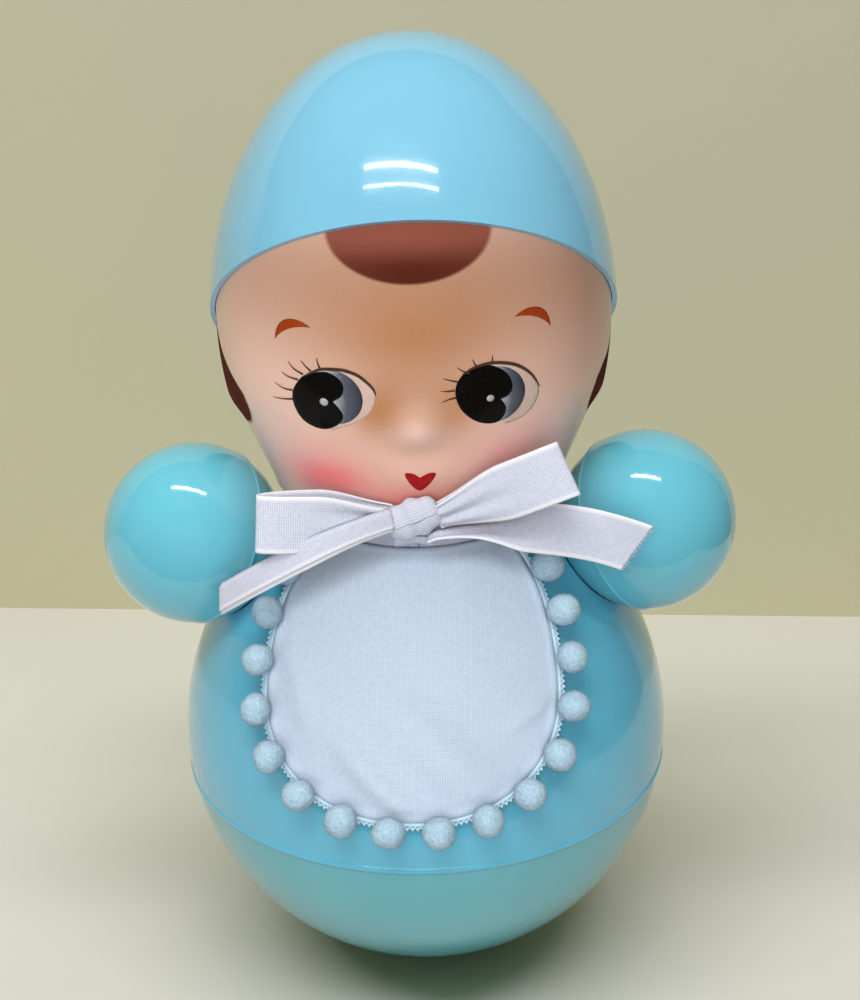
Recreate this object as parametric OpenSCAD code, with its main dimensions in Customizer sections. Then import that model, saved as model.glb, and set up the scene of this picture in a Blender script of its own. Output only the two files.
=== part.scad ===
// Roly poly doll: a weighted round body with a chime inside, a turning head in a
// bonnet, two turning ball arms, a bib with a pom-pom trim and a ribbon bow.
// The doll faces -Y, its left arm is on +X, and it stands on z = 0.

/* [Body] */
// Radius of the round body at its widest
body_r = 72.5; // [68:0.5:78]
// Radius of the arc that the body's sides follow above its widest level
shoulder_arc_r = 78; // [76:0.5:84]
// Radius of the small moulded flat that the toy stands on
foot_r = 8; // [5:0.5:11]
// Wall of the two body mouldings
shell_t = 1.8; // [1.5:0.1:2.4]
// Drop of the seam below the body's widest level
seam_drop = 10; // [7:0.5:14]
// Radius of the rounded bead along the seam
bead_r = 1.2; // [0.8:0.1:1.5]
// Height of the lower bowl's tongue inside the seam
tongue_h = 5; // [3:0.5:7]
// Radius of the flat ring on top of the body
neck_seat_r = 31; // [30:0.5:34]

/* [Neck] */
// Radius of the neck column that the ribbon goes round
neck_r = 29.5; // [27:0.5:30]
// Height of the neck column
neck_h = 8; // [7:0.5:10]
// Radius of the neck's bearing in the body
bearing_r = 21.5; // [18:0.5:23]
// Length of the neck's bearing
bearing_h = 6; // [4:0.5:9]
// Wall of the neck piece
neck_t = 2.5; // [2:0.1:4]
// Thickness of the ring that keeps the neck in
retainer_t = 1.5; // [1:0.1:2.5]

/* [Bonnet] */
// Outer radius of the bonnet at its widest
head_r = 56.7; // [54:0.1:58]
// Height of that widest level above the neck column
head_rise = 51; // [49:0.5:54]
// Radius of the arc that the bonnet's sides follow
side_arc_r = 98.5; // [92:0.5:105]
// Angle at which the side arc ends
side_turn = 25; // [22:1:28]
// Radius of the arc between the sides and the crown
upper_arc_r = 72.5; // [68:0.5:78]
// Angle at which the upper arc ends
upper_turn = 50; // [45:1:55]
// Wall of the bonnet
bonnet_t = 1.4; // [1:0.1:2]
// Tilt of the bonnet's rim, up at the front
rim_tilt = 37.5; // [34:0.5:41]

/* [Face] */
// Wall of the face shell
face_t = 1.6; // [1.2:0.1:2.2]
// Radius of the jaw
jaw_r = 41.7; // [39:0.1:43]
// Height of the jaw's widest level above the underside of the head
jaw_h = 6; // [5:0.5:8]
// Height of the face shell's lip inside the bonnet
lip_h = 8; // [5:0.5:10]
// How far the nose stands out
nose_h = 3.4; // [2:0.1:5]
// Drop of the nose below the head's widest level
nose_drop = 15.5; // [13:0.5:18]
// Distance of each eye from the middle
eye_x = 20.5; // [18:0.5:23]
// Shift of both printed eyes to the doll's right, which gives the sideways glance
glance = 1.9; // [0:0.1:3]
// Drop of the eyes below the head's widest level
eye_drop = 7.5; // [5:0.5:10]
// Half width of the printed eye
eye_half_w = 9.2; // [7:0.1:10.5]
// Half height of the printed eye
eye_half_h = 8.8; // [7:0.1:10]
// Distance of each brow's middle from the middle of the face
brow_x = 31; // [28:0.5:34]
// Rise of the brows above the head's widest level
brow_rise = 11.5; // [9:0.5:14]
// Length of a brow
brow_l = 11; // [8:0.5:14]
// Width of a brow at its thickest
brow_w = 3; // [2:0.1:4]
// Drop of the lips below the head's widest level
lip_drop = 32; // [30:0.5:34]
// Width of the printed lips
lip_w = 8.4; // [6:0.1:11]
// Height of the printed lips
lip_print_h = 4.6; // [3:0.1:6]

/* [Arms] */
// Radius of an arm's outer half
arm_r = 25.9; // [24:0.1:27.5]
// How far an arm sinks into its shoulder socket
arm_sink = 5.6; // [4.8:0.1:6.4]
// How far an arm tucks in under the jaw's widest level
arm_tuck = 2; // [0:0.25:3.5]
// Turn up the shoulder's arc at which an arm rests, degrees
shoulder_turn = 43.7; // [35:0.1:55]
// Angle of the shoulder forward of the body's side
shoulder_fwd = 10.5; // [6:0.5:14]
// Upward angle of the axis that an arm turns on
arm_axis_up = 25; // [20:1:30]
// Forward angle of the axis that an arm turns on
arm_axis_fwd = 30; // [24:1:34]
// Distance of an arm's seam from its middle, towards the body
arm_seam = 6.6; // [4:0.2:8]
// Wall of the arm mouldings
arm_t = 1.5; // [1.2:0.1:2]
// Radius of an arm's peg
peg_r = 4; // [3:0.25:5]
// Thickness of the washer that keeps an arm in
washer_t = 1.6; // [1:0.1:2.5]

/* [Weight and chime] */
// Height of the base weight
weight_h = 16.5; // [13:0.5:20]
// Thickness of the chime plate
plate_t = 2.5; // [2:0.1:3.5]
// Radius of the chime plate
plate_r = 39; // [37:0.5:43]
// Radius of the circle that the plate screws stand on
screw_circle_r = 32; // [31:0.5:34]
// Radius of the screws' shanks
screw_r = 1.5; // [1.2:0.1:1.9]
// Height of the posts that carry the hammer's pin
post_h = 66; // [60:0.5:72]
// Distance between the two posts' inner faces
post_gap = 24; // [22:0.5:28]
// Radius of the hammer's pin
pin_r = 1.5; // [1.2:0.1:2]
// Length of the hammer from its pin to the middle of its head
hammer_l = 40; // [36:0.5:44]
// Radius of the hammer's head
hammer_head_r = 9; // [7:0.1:10]
// Distance of the chime rods from the middle, sideways
rod_x = 19; // [18:0.25:22]
// Distance of each chime rod from the middle of its block
rod_y = 7; // [5:0.25:8]
// Radius of the chime rods
rod_r = 1.5; // [1:0.1:2]
// Length of the longest chime rod
rod_l = 58; // [52:0.5:64]
// How much shorter each next rod is
rod_step = 5; // [3:0.5:6]
// Height of a rod block
block_h = 8; // [6:0.5:10]

/* [Bib] */
// Length of the bib from the neck to its lower edge, along the body
bib_l = 76; // [70:0.5:80]
// Half width of the bib along the body
bib_half_w = 42.5; // [38:0.5:46]
// Distance from the neck to the bib's widest level
bib_widest = 45; // [40:0.5:50]
// Turn of the bib round the neck, to the doll's right
bib_turn = 4; // [0:0.5:6]
// Thickness of the doubled and hemmed bib cloth
bib_t = 1.2; // [0.8:0.1:1.6]
// Height of the soft fold across the bib
fold_h = 1.6; // [0:0.1:2.5]
// Width of the braid round the bib
braid_w = 2.2; // [1.6:0.1:3]
// Thickness of the braid
braid_t = 1.2; // [0.8:0.1:1.6]
// Radius of a pom-pom
pompom_r = 5; // [4:0.1:5.5]
// How many pom-poms the trim has
pompom_count = 18; // [14:1:18]

/* [Ribbon] */
// Width of the ribbon
ribbon_w = 15; // [12:0.5:17]
// Thickness of the ribbon as it lies, with its soft bulk
ribbon_t = 0.5; // [0.3:0.05:0.7]
// Height of the knot
knot_h = 11; // [9:0.5:13]
// Width of the knot
knot_w = 12; // [10:0.5:14]
// Depth of the knot
knot_d = 6; // [5:0.25:7]
// Drop of the knot below the head's widest level
knot_drop = 42; // [40:0.5:43]
// Shift of the knot to the doll's right
knot_shift = 1.8; // [0:0.1:3]
// Reach of the doll's left loop from the knot's side
left_loop_reach = 36; // [32:0.5:39]
// Reach of the doll's right loop from the knot's side
right_loop_reach = 34; // [31:0.5:37]
// Depth of an open bow loop
loop_depth = 6.5; // [5:0.25:8]
// Upward angle of the doll's left loop
left_loop_turn = 24; // [19:1:27]
// Upward angle of the doll's right loop
right_loop_turn = 3; // [-2:1:6]
// Sideways reach of the doll's left tail
left_tail_reach = 59.5; // [54:0.5:62]
// Drop of the doll's left tail at its end
left_tail_drop = 11.5; // [8:0.5:15]
// Sideways reach of the doll's right tail
right_tail_reach = 52.5; // [48:0.5:56]
// Drop of the doll's right tail at its end
right_tail_drop = 23; // [18:0.5:26]

/* [Hidden] */
$fn = 96;

// Colours
bonnet_blue = "#86cde6";
arm_blue = "#6fc7de";
body_aqua = "#4fa8b5";
skin_tan = "#e0b295";
cloth_white = "#dce6f2";
trim_blue = "#b4d4ea";
ribbon_white = "#eef0f8";
iron_grey = "#5a5a5c";
steel_grey = "#b8bcc2";
plate_cream = "#d8d2c0";

// Clearances and the overrun of cuts
run_gap = 0.08;
seat_gap = 0.3;
glue_gap = 0.1;
soft_gap = 0.4;
over = 1;

// Body levels
body_z = sqrt(pow(body_r, 2) - pow(foot_r, 2));
arc_c = body_r - shoulder_arc_r;
seam_z = body_z - seam_drop;
neck_z = body_z + sqrt(pow(shoulder_arc_r, 2) - pow(neck_seat_r - arc_c, 2));
top_plate_t = 2.2;
collar_t = 5;
tongue_t = 1.5;
tongue_r = arc_c + sqrt(pow(shoulder_arc_r - shell_t, 2) - pow(seam_drop, 2)) - seat_gap;
tongue_root = 4;

// Head levels
neck_top_z = neck_z + neck_h;
head_z = neck_top_z + head_rise;
jaw_z = neck_top_z + jaw_h;
face_step = bonnet_t + glue_gap + glue_gap;
side_c = [head_r - side_arc_r, head_z];
side_end = side_c + side_arc_r * [cos(side_turn), sin(side_turn)];
upper_c = side_end - upper_arc_r * [cos(side_turn), sin(side_turn)];
upper_end = upper_c + upper_arc_r * [cos(upper_turn), sin(upper_turn)];
crown_r = upper_end[0] / cos(upper_turn);
crown_c = [0, upper_end[1] - crown_r * sin(upper_turn)];
crown_top = crown_c[1] + crown_r;

// Face form
cheek_drop = 2;
cheek_top_z = head_z - cheek_drop;
jaw_slope = 0.36;
hair_edge_y = -17;
hair_edge_soft = 4;
hair_low_drop = 29;
hair_low_soft = 9;
hair_low_slope = 0.2;
nose_half_w = 6;
nose_half_h = 5;
bridge_h = -1.4;
bridge_half_w = 11;
bridge_half_h = 7;
bridge_drop = 7;
lid_h = 0.9;
lid_half_w = 11;
lid_half_h = 9;
mouth_h = 1;
mouth_half_w = 8;
mouth_half_h = 5;
chin_h = 1.2;
chin_half_w = 11;
chin_half_h = 6;
chin_drop = 40;
column_count = 72;
front_share = 0.55;
outer_rows = 26;
inner_rows = 9;
under_rows = 5;
rim_passes = 24;
print_lift = 0.12;
print_t = 0.25;
print_stations = 12;
print_across = 6;
print_end_share = 0.97;
brow_arch_share = 0.3;
brow_tilt_share = 0.22;
lip_dip_share = 0.2;
lip_corner_share = 0.3;

// Arm places
arm_step = 0.4;
arm_inner_r = arm_r - arm_step;
arm_reach = shoulder_arc_r + arm_r - arm_sink;
arm_c_r = max(jaw_r + arm_r - arm_tuck, arc_c + arm_reach * cos(shoulder_turn));
arm_c_z = body_z + sqrt(pow(arm_reach, 2) - pow(arm_c_r - arc_c, 2));
arm_c = [arm_c_r * cos(shoulder_fwd), -arm_c_r * sin(shoulder_fwd), arm_c_z];
arm_bead_r = 0.9;
arm_tongue_h = 3;
arm_tongue_t = 1.2;
socket_r = arm_inner_r + seat_gap;
boss_r = 6.5;
washer_r = 7;
boss_h = 3;
boss_end = -(socket_r + shell_t + boss_h);
washer_end = boss_end - seat_gap - washer_t;
peg_spare = 2;

// Weight and chime levels
weight_r = body_r - shell_t - seat_gap;
weight_top = body_z - weight_r + weight_h;
plate_z = weight_top + seat_gap;
plate_top = plate_z + plate_t;
screw_count = 3;
screw_first = 30;
screw_head_r = 3;
screw_head_h = 2;
screw_l = 9;
screw_boss_r = 4;
screw_pilot = 1;
post_w = 10;
post_t = 4;
pin_z = plate_top + post_h;
pin_spare = 2;
eye_ring_r = 5;
eye_ring_l = 10;
hammer_rod_r = 2;
hammer_dip = 4;
block_w = 10;
block_l = 24;
block_screw_l = 9;
block_screw_r = 1.2;
block_screw_head_r = 2.4;

// Bib and trim
bib_top_turn = asin((neck_z - body_z) / shoulder_arc_r);
bib_neck_gap = 1.5;
bib_rise = 60;
bib_square = 2.2;
bib_rows_upper = 7;
bib_rows_lower = 9;
bib_columns = 18;
bib_last_turn = 84;
braid_out = braid_w / 2 + seat_gap;
pompom_out = 0.1;
pompom_slip = 1;
pompom_lift = soft_gap + max(bib_t, braid_t) + seat_gap + pompom_r;
braid_rings = 56;
braid_corner_shares = [[-1, 0], [-0.5, -1], [0.5, -1], [1, 0], [0.5, 1], [-0.5, 1]];
trim_points = 120;
fold_soft = 9;
fold_edge = 6;
fold_turn = 38;
fold_shift = 8;

// Ribbon places
band_t = 1.2;
band_gap = 0.4;
band_h = neck_h - 2 * band_gap;
knot_z = head_z - knot_drop;
knot_gap = 1.2;
gather_share = 0.55;
root_step_share = 0.25;
loop_samples = 28;
tail_samples = 16;
knot_rings = 12;
knot_sides = 16;
knot_cap_share = 0.25;
loop_shear = 3;
loop_lead = 5.5;
loop_lean_turn = 5;
loop_twist_turn = 25;
loop_back = 0.8;
crossing_w = 6;
left_root_share = [0, -0.45];
left_fall_share = [-0.25, -0.15];
left_first_share = [0.1, 0.95, 0.1];
left_last_share = [0.55, 0, 0.83];
right_root_share = [-0.37, 0.05];
right_fall_share = [0.05, 0.42];
right_first_share = [0, -0.1, 0.95];
right_last_share = [0.5, -0.6, 0.62];
left_tail_lead = -3;
right_tail_lead = 8;
right_tail_w = 8.5;
tail_back = 2;

// Smooth step from 0 to 1
function smooth(t) = let (c = min(1, max(0, t))) c * c * (3 - 2 * c);

// Rounded bump of unit height with half widths a and b
function bump(x, z, a, b) = exp(-pow(x / a, 2) - pow(z / b, 2));

// Radius of the bonnet's outside at a height
function bonnet_r(z) =
  z < side_end[1] ? side_c[0] + sqrt(max(0, pow(side_arc_r, 2) - pow(z - side_c[1], 2))) :
  z < upper_end[1] ? upper_c[0] + sqrt(max(0, pow(upper_arc_r, 2) - pow(z - upper_c[1], 2))) :
  sqrt(max(0, pow(crown_r, 2) - pow(z - crown_c[1], 2)));

// Radius of the cheeks and brow before any relief: a smooth run from jaw to brow
function face_base(z) =
  z > cheek_top_z ? bonnet_r(z) - face_step :
  let (
    span = cheek_top_z - jaw_z,
    t = min(1, (cheek_top_z - z) / span),
    top_r = bonnet_r(cheek_top_z) - face_step,
    top_part = 2 * pow(t, 3) - 3 * pow(t, 2) + 1,
    slope_part = pow(t, 3) - pow(t, 2)
  )
  top_part * top_r + (1 - top_part) * jaw_r - slope_part * jaw_slope * span;

// Extra radius where the moulded hair and the back of the head fill out
function hair_swell(turn, z) =
  let (
    r = face_base(z),
    y = -r * cos(turn),
    behind = smooth((y - hair_edge_y) / hair_edge_soft),
    above = smooth((z - head_z + hair_low_drop + hair_low_slope * y) / hair_low_soft)
  )
  (bonnet_r(z) - face_step - r) * behind * above;

// Nose, bridge, lids, mouth and chin
function relief(turn, z) =
  cos(turn) <= 0 ? 0 :
  let (x = face_base(z) * sin(turn), d = z - head_z)
  nose_h * bump(x, d + nose_drop, nose_half_w, nose_half_h)
  + bridge_h * bump(x, d + bridge_drop, bridge_half_w, bridge_half_h)
  + lid_h * bump(abs(x) - eye_x, d + eye_drop, lid_half_w, lid_half_h)
  + mouth_h * bump(x, d + lip_drop, mouth_half_w, mouth_half_h)
  + chin_h * bump(x, d + chin_drop, chin_half_w, chin_half_h);

function face_r(turn, z) = face_base(z) + hair_swell(turn, z) + relief(turn, z);

// Point at a turn from the front, a radius and a height
function around(turn, r, z) = [r * sin(turn), -r * cos(turn), z];

// Height at which the bonnet's tilted rim, raised by lift, meets the face at a turn
function rim_z(turn, lift, z, passes) =
  passes == 0 ? z :
  let (on_plane = head_z + lift + tan(rim_tilt) * (bonnet_r(z) - face_step) * cos(turn))
  rim_z(turn, lift, (z + on_plane) / 2, passes - 1);

// Point on the face in front view, raised by lift
function on_face(x, z, lift) =
  let (turn = asin(x / face_base(z)))
  around(turn, face_r(turn, z) + lift, z);

// Surface through rings of points; a ring's point i pairs with its point n-1-i at the ends
module skin(rings, ring_loop = false) {
  n = len(rings[0]);
  m = len(rings);
  last = ring_loop ? m - 1 : m - 2;
  points = [for (ring = rings) each ring];
  sides = [
    for (j = [0:last], i = [0:n - 1])
      let (a = j * n, b = ((j + 1) % m) * n, k = (i + 1) % n)
      each [[a + i, a + k, b + k], [a + i, b + k, b + i]]
  ];
  ends = ring_loop ? [] : [
    for (i = [0:n / 2 - 2])
      let (e = (m - 1) * n)
      each [
        [n - 1 - i, i + 1, i], [n - 1 - i, n - 2 - i, i + 1],
        [e + i, e + i + 1, e + n - 1 - i], [e + i + 1, e + n - 2 - i, e + n - 1 - i]
      ]
  ];
  polyhedron(points = points, faces = concat(sides, ends));
}

// Part of a disc to the right of the axis, between two heights
module disc_band(centre, r, low, high) {
  intersection() {
    translate(centre) circle(r);
    translate([0, low]) square([r + abs(centre[0]), high - low]);
  }
}

// Half section inside the body's outer line, drawn in by inset, between two heights
module body_section(inset, low, high) {
  disc_band([arc_c, body_z], shoulder_arc_r - inset, low, high);
}

module bowl_section(inset, low, high) {
  disc_band([0, body_z], body_r - inset, low, high);
}

// Half section inside the bonnet's outer line, drawn in by inset
module bonnet_section(inset) {
  disc_band(side_c, side_arc_r - inset, neck_z, side_end[1]);
  disc_band(upper_c, upper_arc_r - inset, side_end[1], upper_end[1]);
  disc_band(crown_c, crown_r - inset, upper_end[1], crown_top);
}

module ring_section(inner, outer, low, high) {
  translate([inner, low]) square([outer - inner, high - low]);
}

// Body mouldings

module lower_bowl() {
  color(body_aqua)
  difference() {
    union() {
      rotate_extrude() {
        difference() {
          bowl_section(0, 0, seam_z);
          bowl_section(shell_t, 0, seam_z + over);
        }
        ring_section(tongue_r - tongue_t, tongue_r, seam_z - tongue_root, seam_z + tongue_h);
      }
      intersection() {
        rotate_extrude() bowl_section(shell_t / 2, 0, body_z);
        at_plate_screws() cylinder(r = screw_boss_r, h = weight_top + glue_gap);
      }
    }
    at_plate_screws() translate([0, 0, plate_top - screw_l - screw_pilot])
      cylinder(r = screw_r + run_gap, h = screw_l + screw_pilot);
  }
}

module upper_body() {
  color(body_aqua)
  difference() {
    union() {
      rotate_extrude() {
        difference() {
          body_section(0, seam_z + glue_gap, neck_z);
          body_section(shell_t, seam_z, neck_z - top_plate_t);
        }
        ring_section(bearing_r + run_gap, bearing_r + collar_t, neck_z - bearing_h, neck_z);
        translate([body_r - bead_r, seam_z + glue_gap + bead_r]) circle(bead_r);
      }
      both_arms() intersection_with_body() {
        sphere(socket_r + shell_t);
        translate([0, 0, boss_end]) cylinder(r = boss_r, h = shell_t + boss_h);
      }
    }
    both_arms() {
      sphere(socket_r);
      translate([0, 0, boss_end - over]) cylinder(r = peg_r + run_gap, h = socket_r);
    }
    translate([0, 0, neck_z - bearing_h - over]) cylinder(r = bearing_r + run_gap, h = bearing_h + 2 * over);
  }
}

// Keeps what lies inside the body's outside, in an arm's own frame
module intersection_with_body() {
  intersection() {
    union() children();
    arm_to_body() rotate_extrude() body_section(shell_t / 2, seam_z + tongue_h, neck_z - top_plate_t);
  }
}

// Weight and chime

module at_plate_screws() {
  for (i = [0:screw_count - 1])
    rotate(screw_first + i * 360 / screw_count) translate([screw_circle_r, 0, 0]) children();
}

module base_weight() {
  color(iron_grey)
  difference() {
    rotate_extrude() disc_band([0, body_z], weight_r, 0, weight_top);
    at_plate_screws() translate([0, 0, -over])
      cylinder(r = screw_boss_r + seat_gap, h = weight_top + 2 * over);
  }
}

module chime_plate() {
  color(plate_cream)
  difference() {
    union() {
      translate([0, 0, plate_z]) cylinder(r = plate_r, h = plate_t);
      for (side = [-1, 1])
        translate([0, side * (post_gap + post_t) / 2, 0]) {
          translate([-post_w / 2, -post_t / 2, plate_z]) cube([post_w, post_t, pin_z - plate_z]);
          translate([0, post_t / 2, pin_z]) rotate([90, 0, 0]) cylinder(d = post_w, h = post_t);
        }
    }
    at_plate_screws() translate([0, 0, plate_z - over])
      cylinder(r = screw_r + run_gap, h = plate_t + 2 * over);
    for (side = [-1, 1])
      translate([side * rod_x, 0, plate_z - over])
        cylinder(r = block_screw_r + run_gap, h = plate_t + 2 * over);
    translate([0, post_gap, pin_z]) rotate([90, 0, 0]) cylinder(r = pin_r + run_gap, h = 2 * post_gap);
  }
}

module screw(shank_r, shank_l, head_r) {
  translate([0, 0, -shank_l]) cylinder(r = shank_r, h = shank_l + screw_head_h / 2);
  cylinder(r = head_r, h = screw_head_h);
}

module plate_screws() {
  color(steel_grey)
  at_plate_screws() translate([0, 0, plate_top]) screw(screw_r, screw_l, screw_head_r);
}

module block_screws() {
  color(steel_grey)
  for (side = [-1, 1])
    translate([side * rod_x, 0, plate_top + block_h])
      screw(block_screw_r, block_screw_l, block_screw_head_r);
}

module rod_block(side) {
  color(steel_grey)
  translate([side * rod_x, 0, plate_top])
  difference() {
    translate([-block_w / 2, -block_l / 2, 0]) cube([block_w, block_l, block_h]);
    translate([0, 0, -over]) cylinder(r = block_screw_r + run_gap, h = block_h + 2 * over);
    for (end = [-1, 1])
      translate([0, end * rod_y, block_h / 2]) cylinder(r = rod_r + run_gap, h = block_h);
  }
}

module left_rod_block() rod_block(1);
module right_rod_block() rod_block(-1);

// Rod number k, from 0: two on each side, each next one shorter
module chime_rod(k) {
  side = k % 2 == 0 ? 1 : -1;
  end = k < 2 ? 1 : -1;
  color("silver")
  translate([side * rod_x, end * rod_y, plate_top + block_h / 2])
    cylinder(r = rod_r, h = rod_l - k * rod_step);
}

module hammer_pin() {
  color(steel_grey)
  translate([0, post_gap / 2 + post_t + pin_spare, pin_z]) rotate([90, 0, 0])
    cylinder(r = pin_r, h = post_gap + 2 * post_t + 2 * pin_spare);
}

module hammer_arm() {
  color("white")
  difference() {
    union() {
      translate([0, eye_ring_l / 2, pin_z]) rotate([90, 0, 0]) cylinder(r = eye_ring_r, h = eye_ring_l);
      translate([0, 0, pin_z - hammer_l + hammer_head_r - hammer_dip])
        cylinder(r = hammer_rod_r, h = hammer_l - hammer_head_r + hammer_dip - pin_r);
    }
    translate([0, eye_ring_l, pin_z]) rotate([90, 0, 0]) cylinder(r = pin_r + run_gap, h = 2 * eye_ring_l);
  }
}

module hammer_head() {
  color("burlywood")
  translate([0, 0, pin_z - hammer_l])
  difference() {
    sphere(hammer_head_r);
    translate([0, 0, hammer_head_r - hammer_dip - glue_gap])
      cylinder(r = hammer_rod_r + run_gap, h = hammer_head_r);
  }
}

// Arms: in an arm's own frame its middle is the origin and +Z points out along its axis

module at_left_arm() {
  translate(arm_c) rotate([0, 0, -arm_axis_fwd]) rotate([0, 90 - arm_axis_up, 0]) children();
}

// The body's frame as an arm sees it
module arm_to_body() {
  rotate([0, arm_axis_up - 90, 0]) rotate([0, 0, arm_axis_fwd]) translate(-arm_c) children();
}

module both_arms() {
  at_left_arm() children();
  mirror([1, 0, 0]) at_left_arm() children();
}

module arm_outer_shell() {
  seam_out_r = sqrt(pow(arm_r, 2) - pow(arm_seam, 2));
  color(arm_blue)
  rotate_extrude() {
    difference() {
      disc_band([0, 0], arm_r, -arm_seam, arm_r);
      disc_band([0, 0], arm_r - arm_t, -arm_seam - over, arm_r);
    }
    translate([seam_out_r - arm_bead_r / 2, arm_bead_r - arm_seam]) circle(arm_bead_r);
  }
}

module arm_inner_shell() {
  seam_in_r = sqrt(pow(arm_r - arm_t, 2) - pow(arm_seam, 2)) - glue_gap;
  color(arm_blue) {
    rotate_extrude() {
      difference() {
        disc_band([0, 0], arm_inner_r, -arm_inner_r, -arm_seam - glue_gap);
        disc_band([0, 0], arm_inner_r - arm_t, -arm_inner_r, -arm_seam);
      }
      ring_section(
        seam_in_r - arm_tongue_t, seam_in_r,
        -arm_seam - arm_tongue_h, -arm_seam + arm_tongue_h
      );
    }
    translate([0, 0, washer_end - peg_spare])
      cylinder(r = peg_r, h = -arm_inner_r + arm_t / 2 - washer_end + peg_spare);
  }
}

module arm_washer() {
  color(steel_grey)
  translate([0, 0, washer_end])
  rotate_extrude() ring_section(peg_r + run_gap, washer_r, 0, washer_t);
}

module left_arm_outer() at_left_arm() arm_outer_shell();
module left_arm_inner() at_left_arm() arm_inner_shell();
module left_arm_washer() at_left_arm() arm_washer();
module right_arm_outer() mirror([1, 0, 0]) at_left_arm() arm_outer_shell();
module right_arm_inner() mirror([1, 0, 0]) at_left_arm() arm_inner_shell();
module right_arm_washer() mirror([1, 0, 0]) at_left_arm() arm_washer();

// Head

module neck_piece() {
  color(skin_tan)
  rotate_extrude() {
    ring_section(
      bearing_r - neck_t, bearing_r,
      neck_z - bearing_h - seat_gap - retainer_t - over, neck_top_z + face_t
    );
    ring_section(bearing_r - neck_t, neck_r, neck_z + seat_gap, neck_top_z - glue_gap);
  }
}

module neck_retainer() {
  color(steel_grey)
  rotate_extrude() ring_section(
    bearing_r + run_gap, bearing_r + collar_t,
    neck_z - bearing_h - seat_gap - retainer_t, neck_z - bearing_h - seat_gap
  );
}

module bonnet() {
  rim_side = 2 * head_r;
  color(bonnet_blue)
  difference() {
    rotate_extrude() difference() {
      bonnet_section(0);
      bonnet_section(bonnet_t);
    }
    translate([0, 0, head_z]) rotate([-rim_tilt, 0, 0])
      translate([-rim_side, -rim_side, -2 * rim_side]) cube(2 * rim_side);
  }
}

// One closed section of the face shell: outside from the neck hole to the lip, then back inside
function face_ring(turn) =
  let (
    lip_z = rim_z(turn, lip_h, head_z, rim_passes),
    hole_r = bearing_r + glue_gap,
    outside = concat(
      [[hole_r, neck_top_z]],
      [
        for (k = [0:under_rows - 1])
          let (a = 90 * k / under_rows)
          [neck_r + (jaw_r - neck_r) * sin(a), jaw_z - jaw_h * cos(a)]
      ],
      [
        for (k = [0:outer_rows])
          let (z = jaw_z + (lip_z - jaw_z) * k / outer_rows)
          [face_r(turn, z), z]
      ]
    ),
    inside = concat(
      [
        for (k = [inner_rows:-1:0])
          let (z = jaw_z + (lip_z - jaw_z) * k / inner_rows)
          [min(face_base(z), face_r(turn, z)) - face_t, z]
      ],
      [
        [neck_r + (jaw_r - neck_r) * sin(45) - face_t / 2, jaw_z - jaw_h * cos(45) + face_t],
        [hole_r, neck_top_z + face_t]
      ]
    )
  )
  [for (p = concat(outside, inside)) around(turn, p[0], p[1])];

module face_shell() {
  color(skin_tan)
  skin([
    for (i = [0:column_count - 1])
      let (u = 2 * i / column_count - 1)
      face_ring(180 * (front_share * u + (1 - front_share) * pow(u, 3)))
  ], ring_loop = true);
}

// Thin film on the face; each station is a list of front-view points across it
module film(stations) {
  skin([
    for (row = stations)
      concat(
        [for (p = row) on_face(p[0], p[1], print_lift + print_t)],
        [for (i = [len(row) - 1:-1:0]) on_face(row[i][0], row[i][1], print_lift)]
      )
  ]);
}

module eye_print(side) {
  color("black")
  film([
    for (i = [0:print_stations])
      let (v = print_end_share * (1 - 2 * i / print_stations), half = eye_half_w * sqrt(1 - v * v))
      [
        for (j = [0:print_across])
          [side * eye_x - glance + half * (2 * j / print_across - 1), head_z - eye_drop + eye_half_h * v]
      ]
  ]);
}

module left_eye_print() eye_print(1);
module right_eye_print() eye_print(-1);

// A brow is a short crescent, thickest in its middle
module brow_prints() {
  color("sienna")
  for (side = [-1, 1])
    film([
      for (i = [0:print_stations])
        let (
          v = print_end_share * (2 * i / print_stations - 1),
          x = side * brow_x + v * brow_l / 2,
          middle = head_z + brow_rise - brow_l * (brow_arch_share * v * v + side * brow_tilt_share * v),
          half = brow_w / 2 * (1 - v * v)
        )
        [for (j = [0:print_across]) [x, middle + half * (2 * j / print_across - 1)]]
    ]);
}

// The lips are a small heart: two rounded peaks above and one point below
module lip_print() {
  color("firebrick")
  film([
    for (i = [0:print_stations])
      let (
        v = print_end_share * (2 * i / print_stations - 1),
        upper = lip_print_h * (lip_corner_share + lip_dip_share * (1 - cos(360 * v)) / 2),
        lower = lip_print_h * (lip_corner_share - (1 - lip_dip_share) * (1 - abs(v)))
      )
      [
        for (j = [0:print_across])
          [v * lip_w / 2, head_z - lip_drop + lower + (upper - lower) * j / print_across]
      ]
  ]);
}

// Bib and trim: places on the body's outside by sideways distance and distance from the neck

function bib_level(s) = bib_top_turn - (s + bib_neck_gap) * 180 / (PI * shoulder_arc_r);

function on_body(across, s, lift) =
  let (
    a = bib_level(s),
    r = arc_c + (shoulder_arc_r + lift) * cos(a),
    turn = across * 180 / (PI * (arc_c + shoulder_arc_r * cos(a))) - bib_turn
  )
  around(turn, r, body_z + (shoulder_arc_r + lift) * sin(a));

// Outline of the bib grown by out: 0 is its widest level on one side, 90 its lowest point
function bib_edge(turn, out) =
  let (c = cos(turn), s = sin(turn), w = bib_half_w + out)
  s < 0 ? [-w * c, bib_widest + (bib_rise + out) * s] :
  [
    -w * sign(c) * pow(abs(c), 2 / bib_square),
    bib_widest + (bib_l - bib_widest + out) * pow(s, 2 / bib_square)
  ];

bib_first_turn = -asin(bib_widest / bib_rise);

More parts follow.
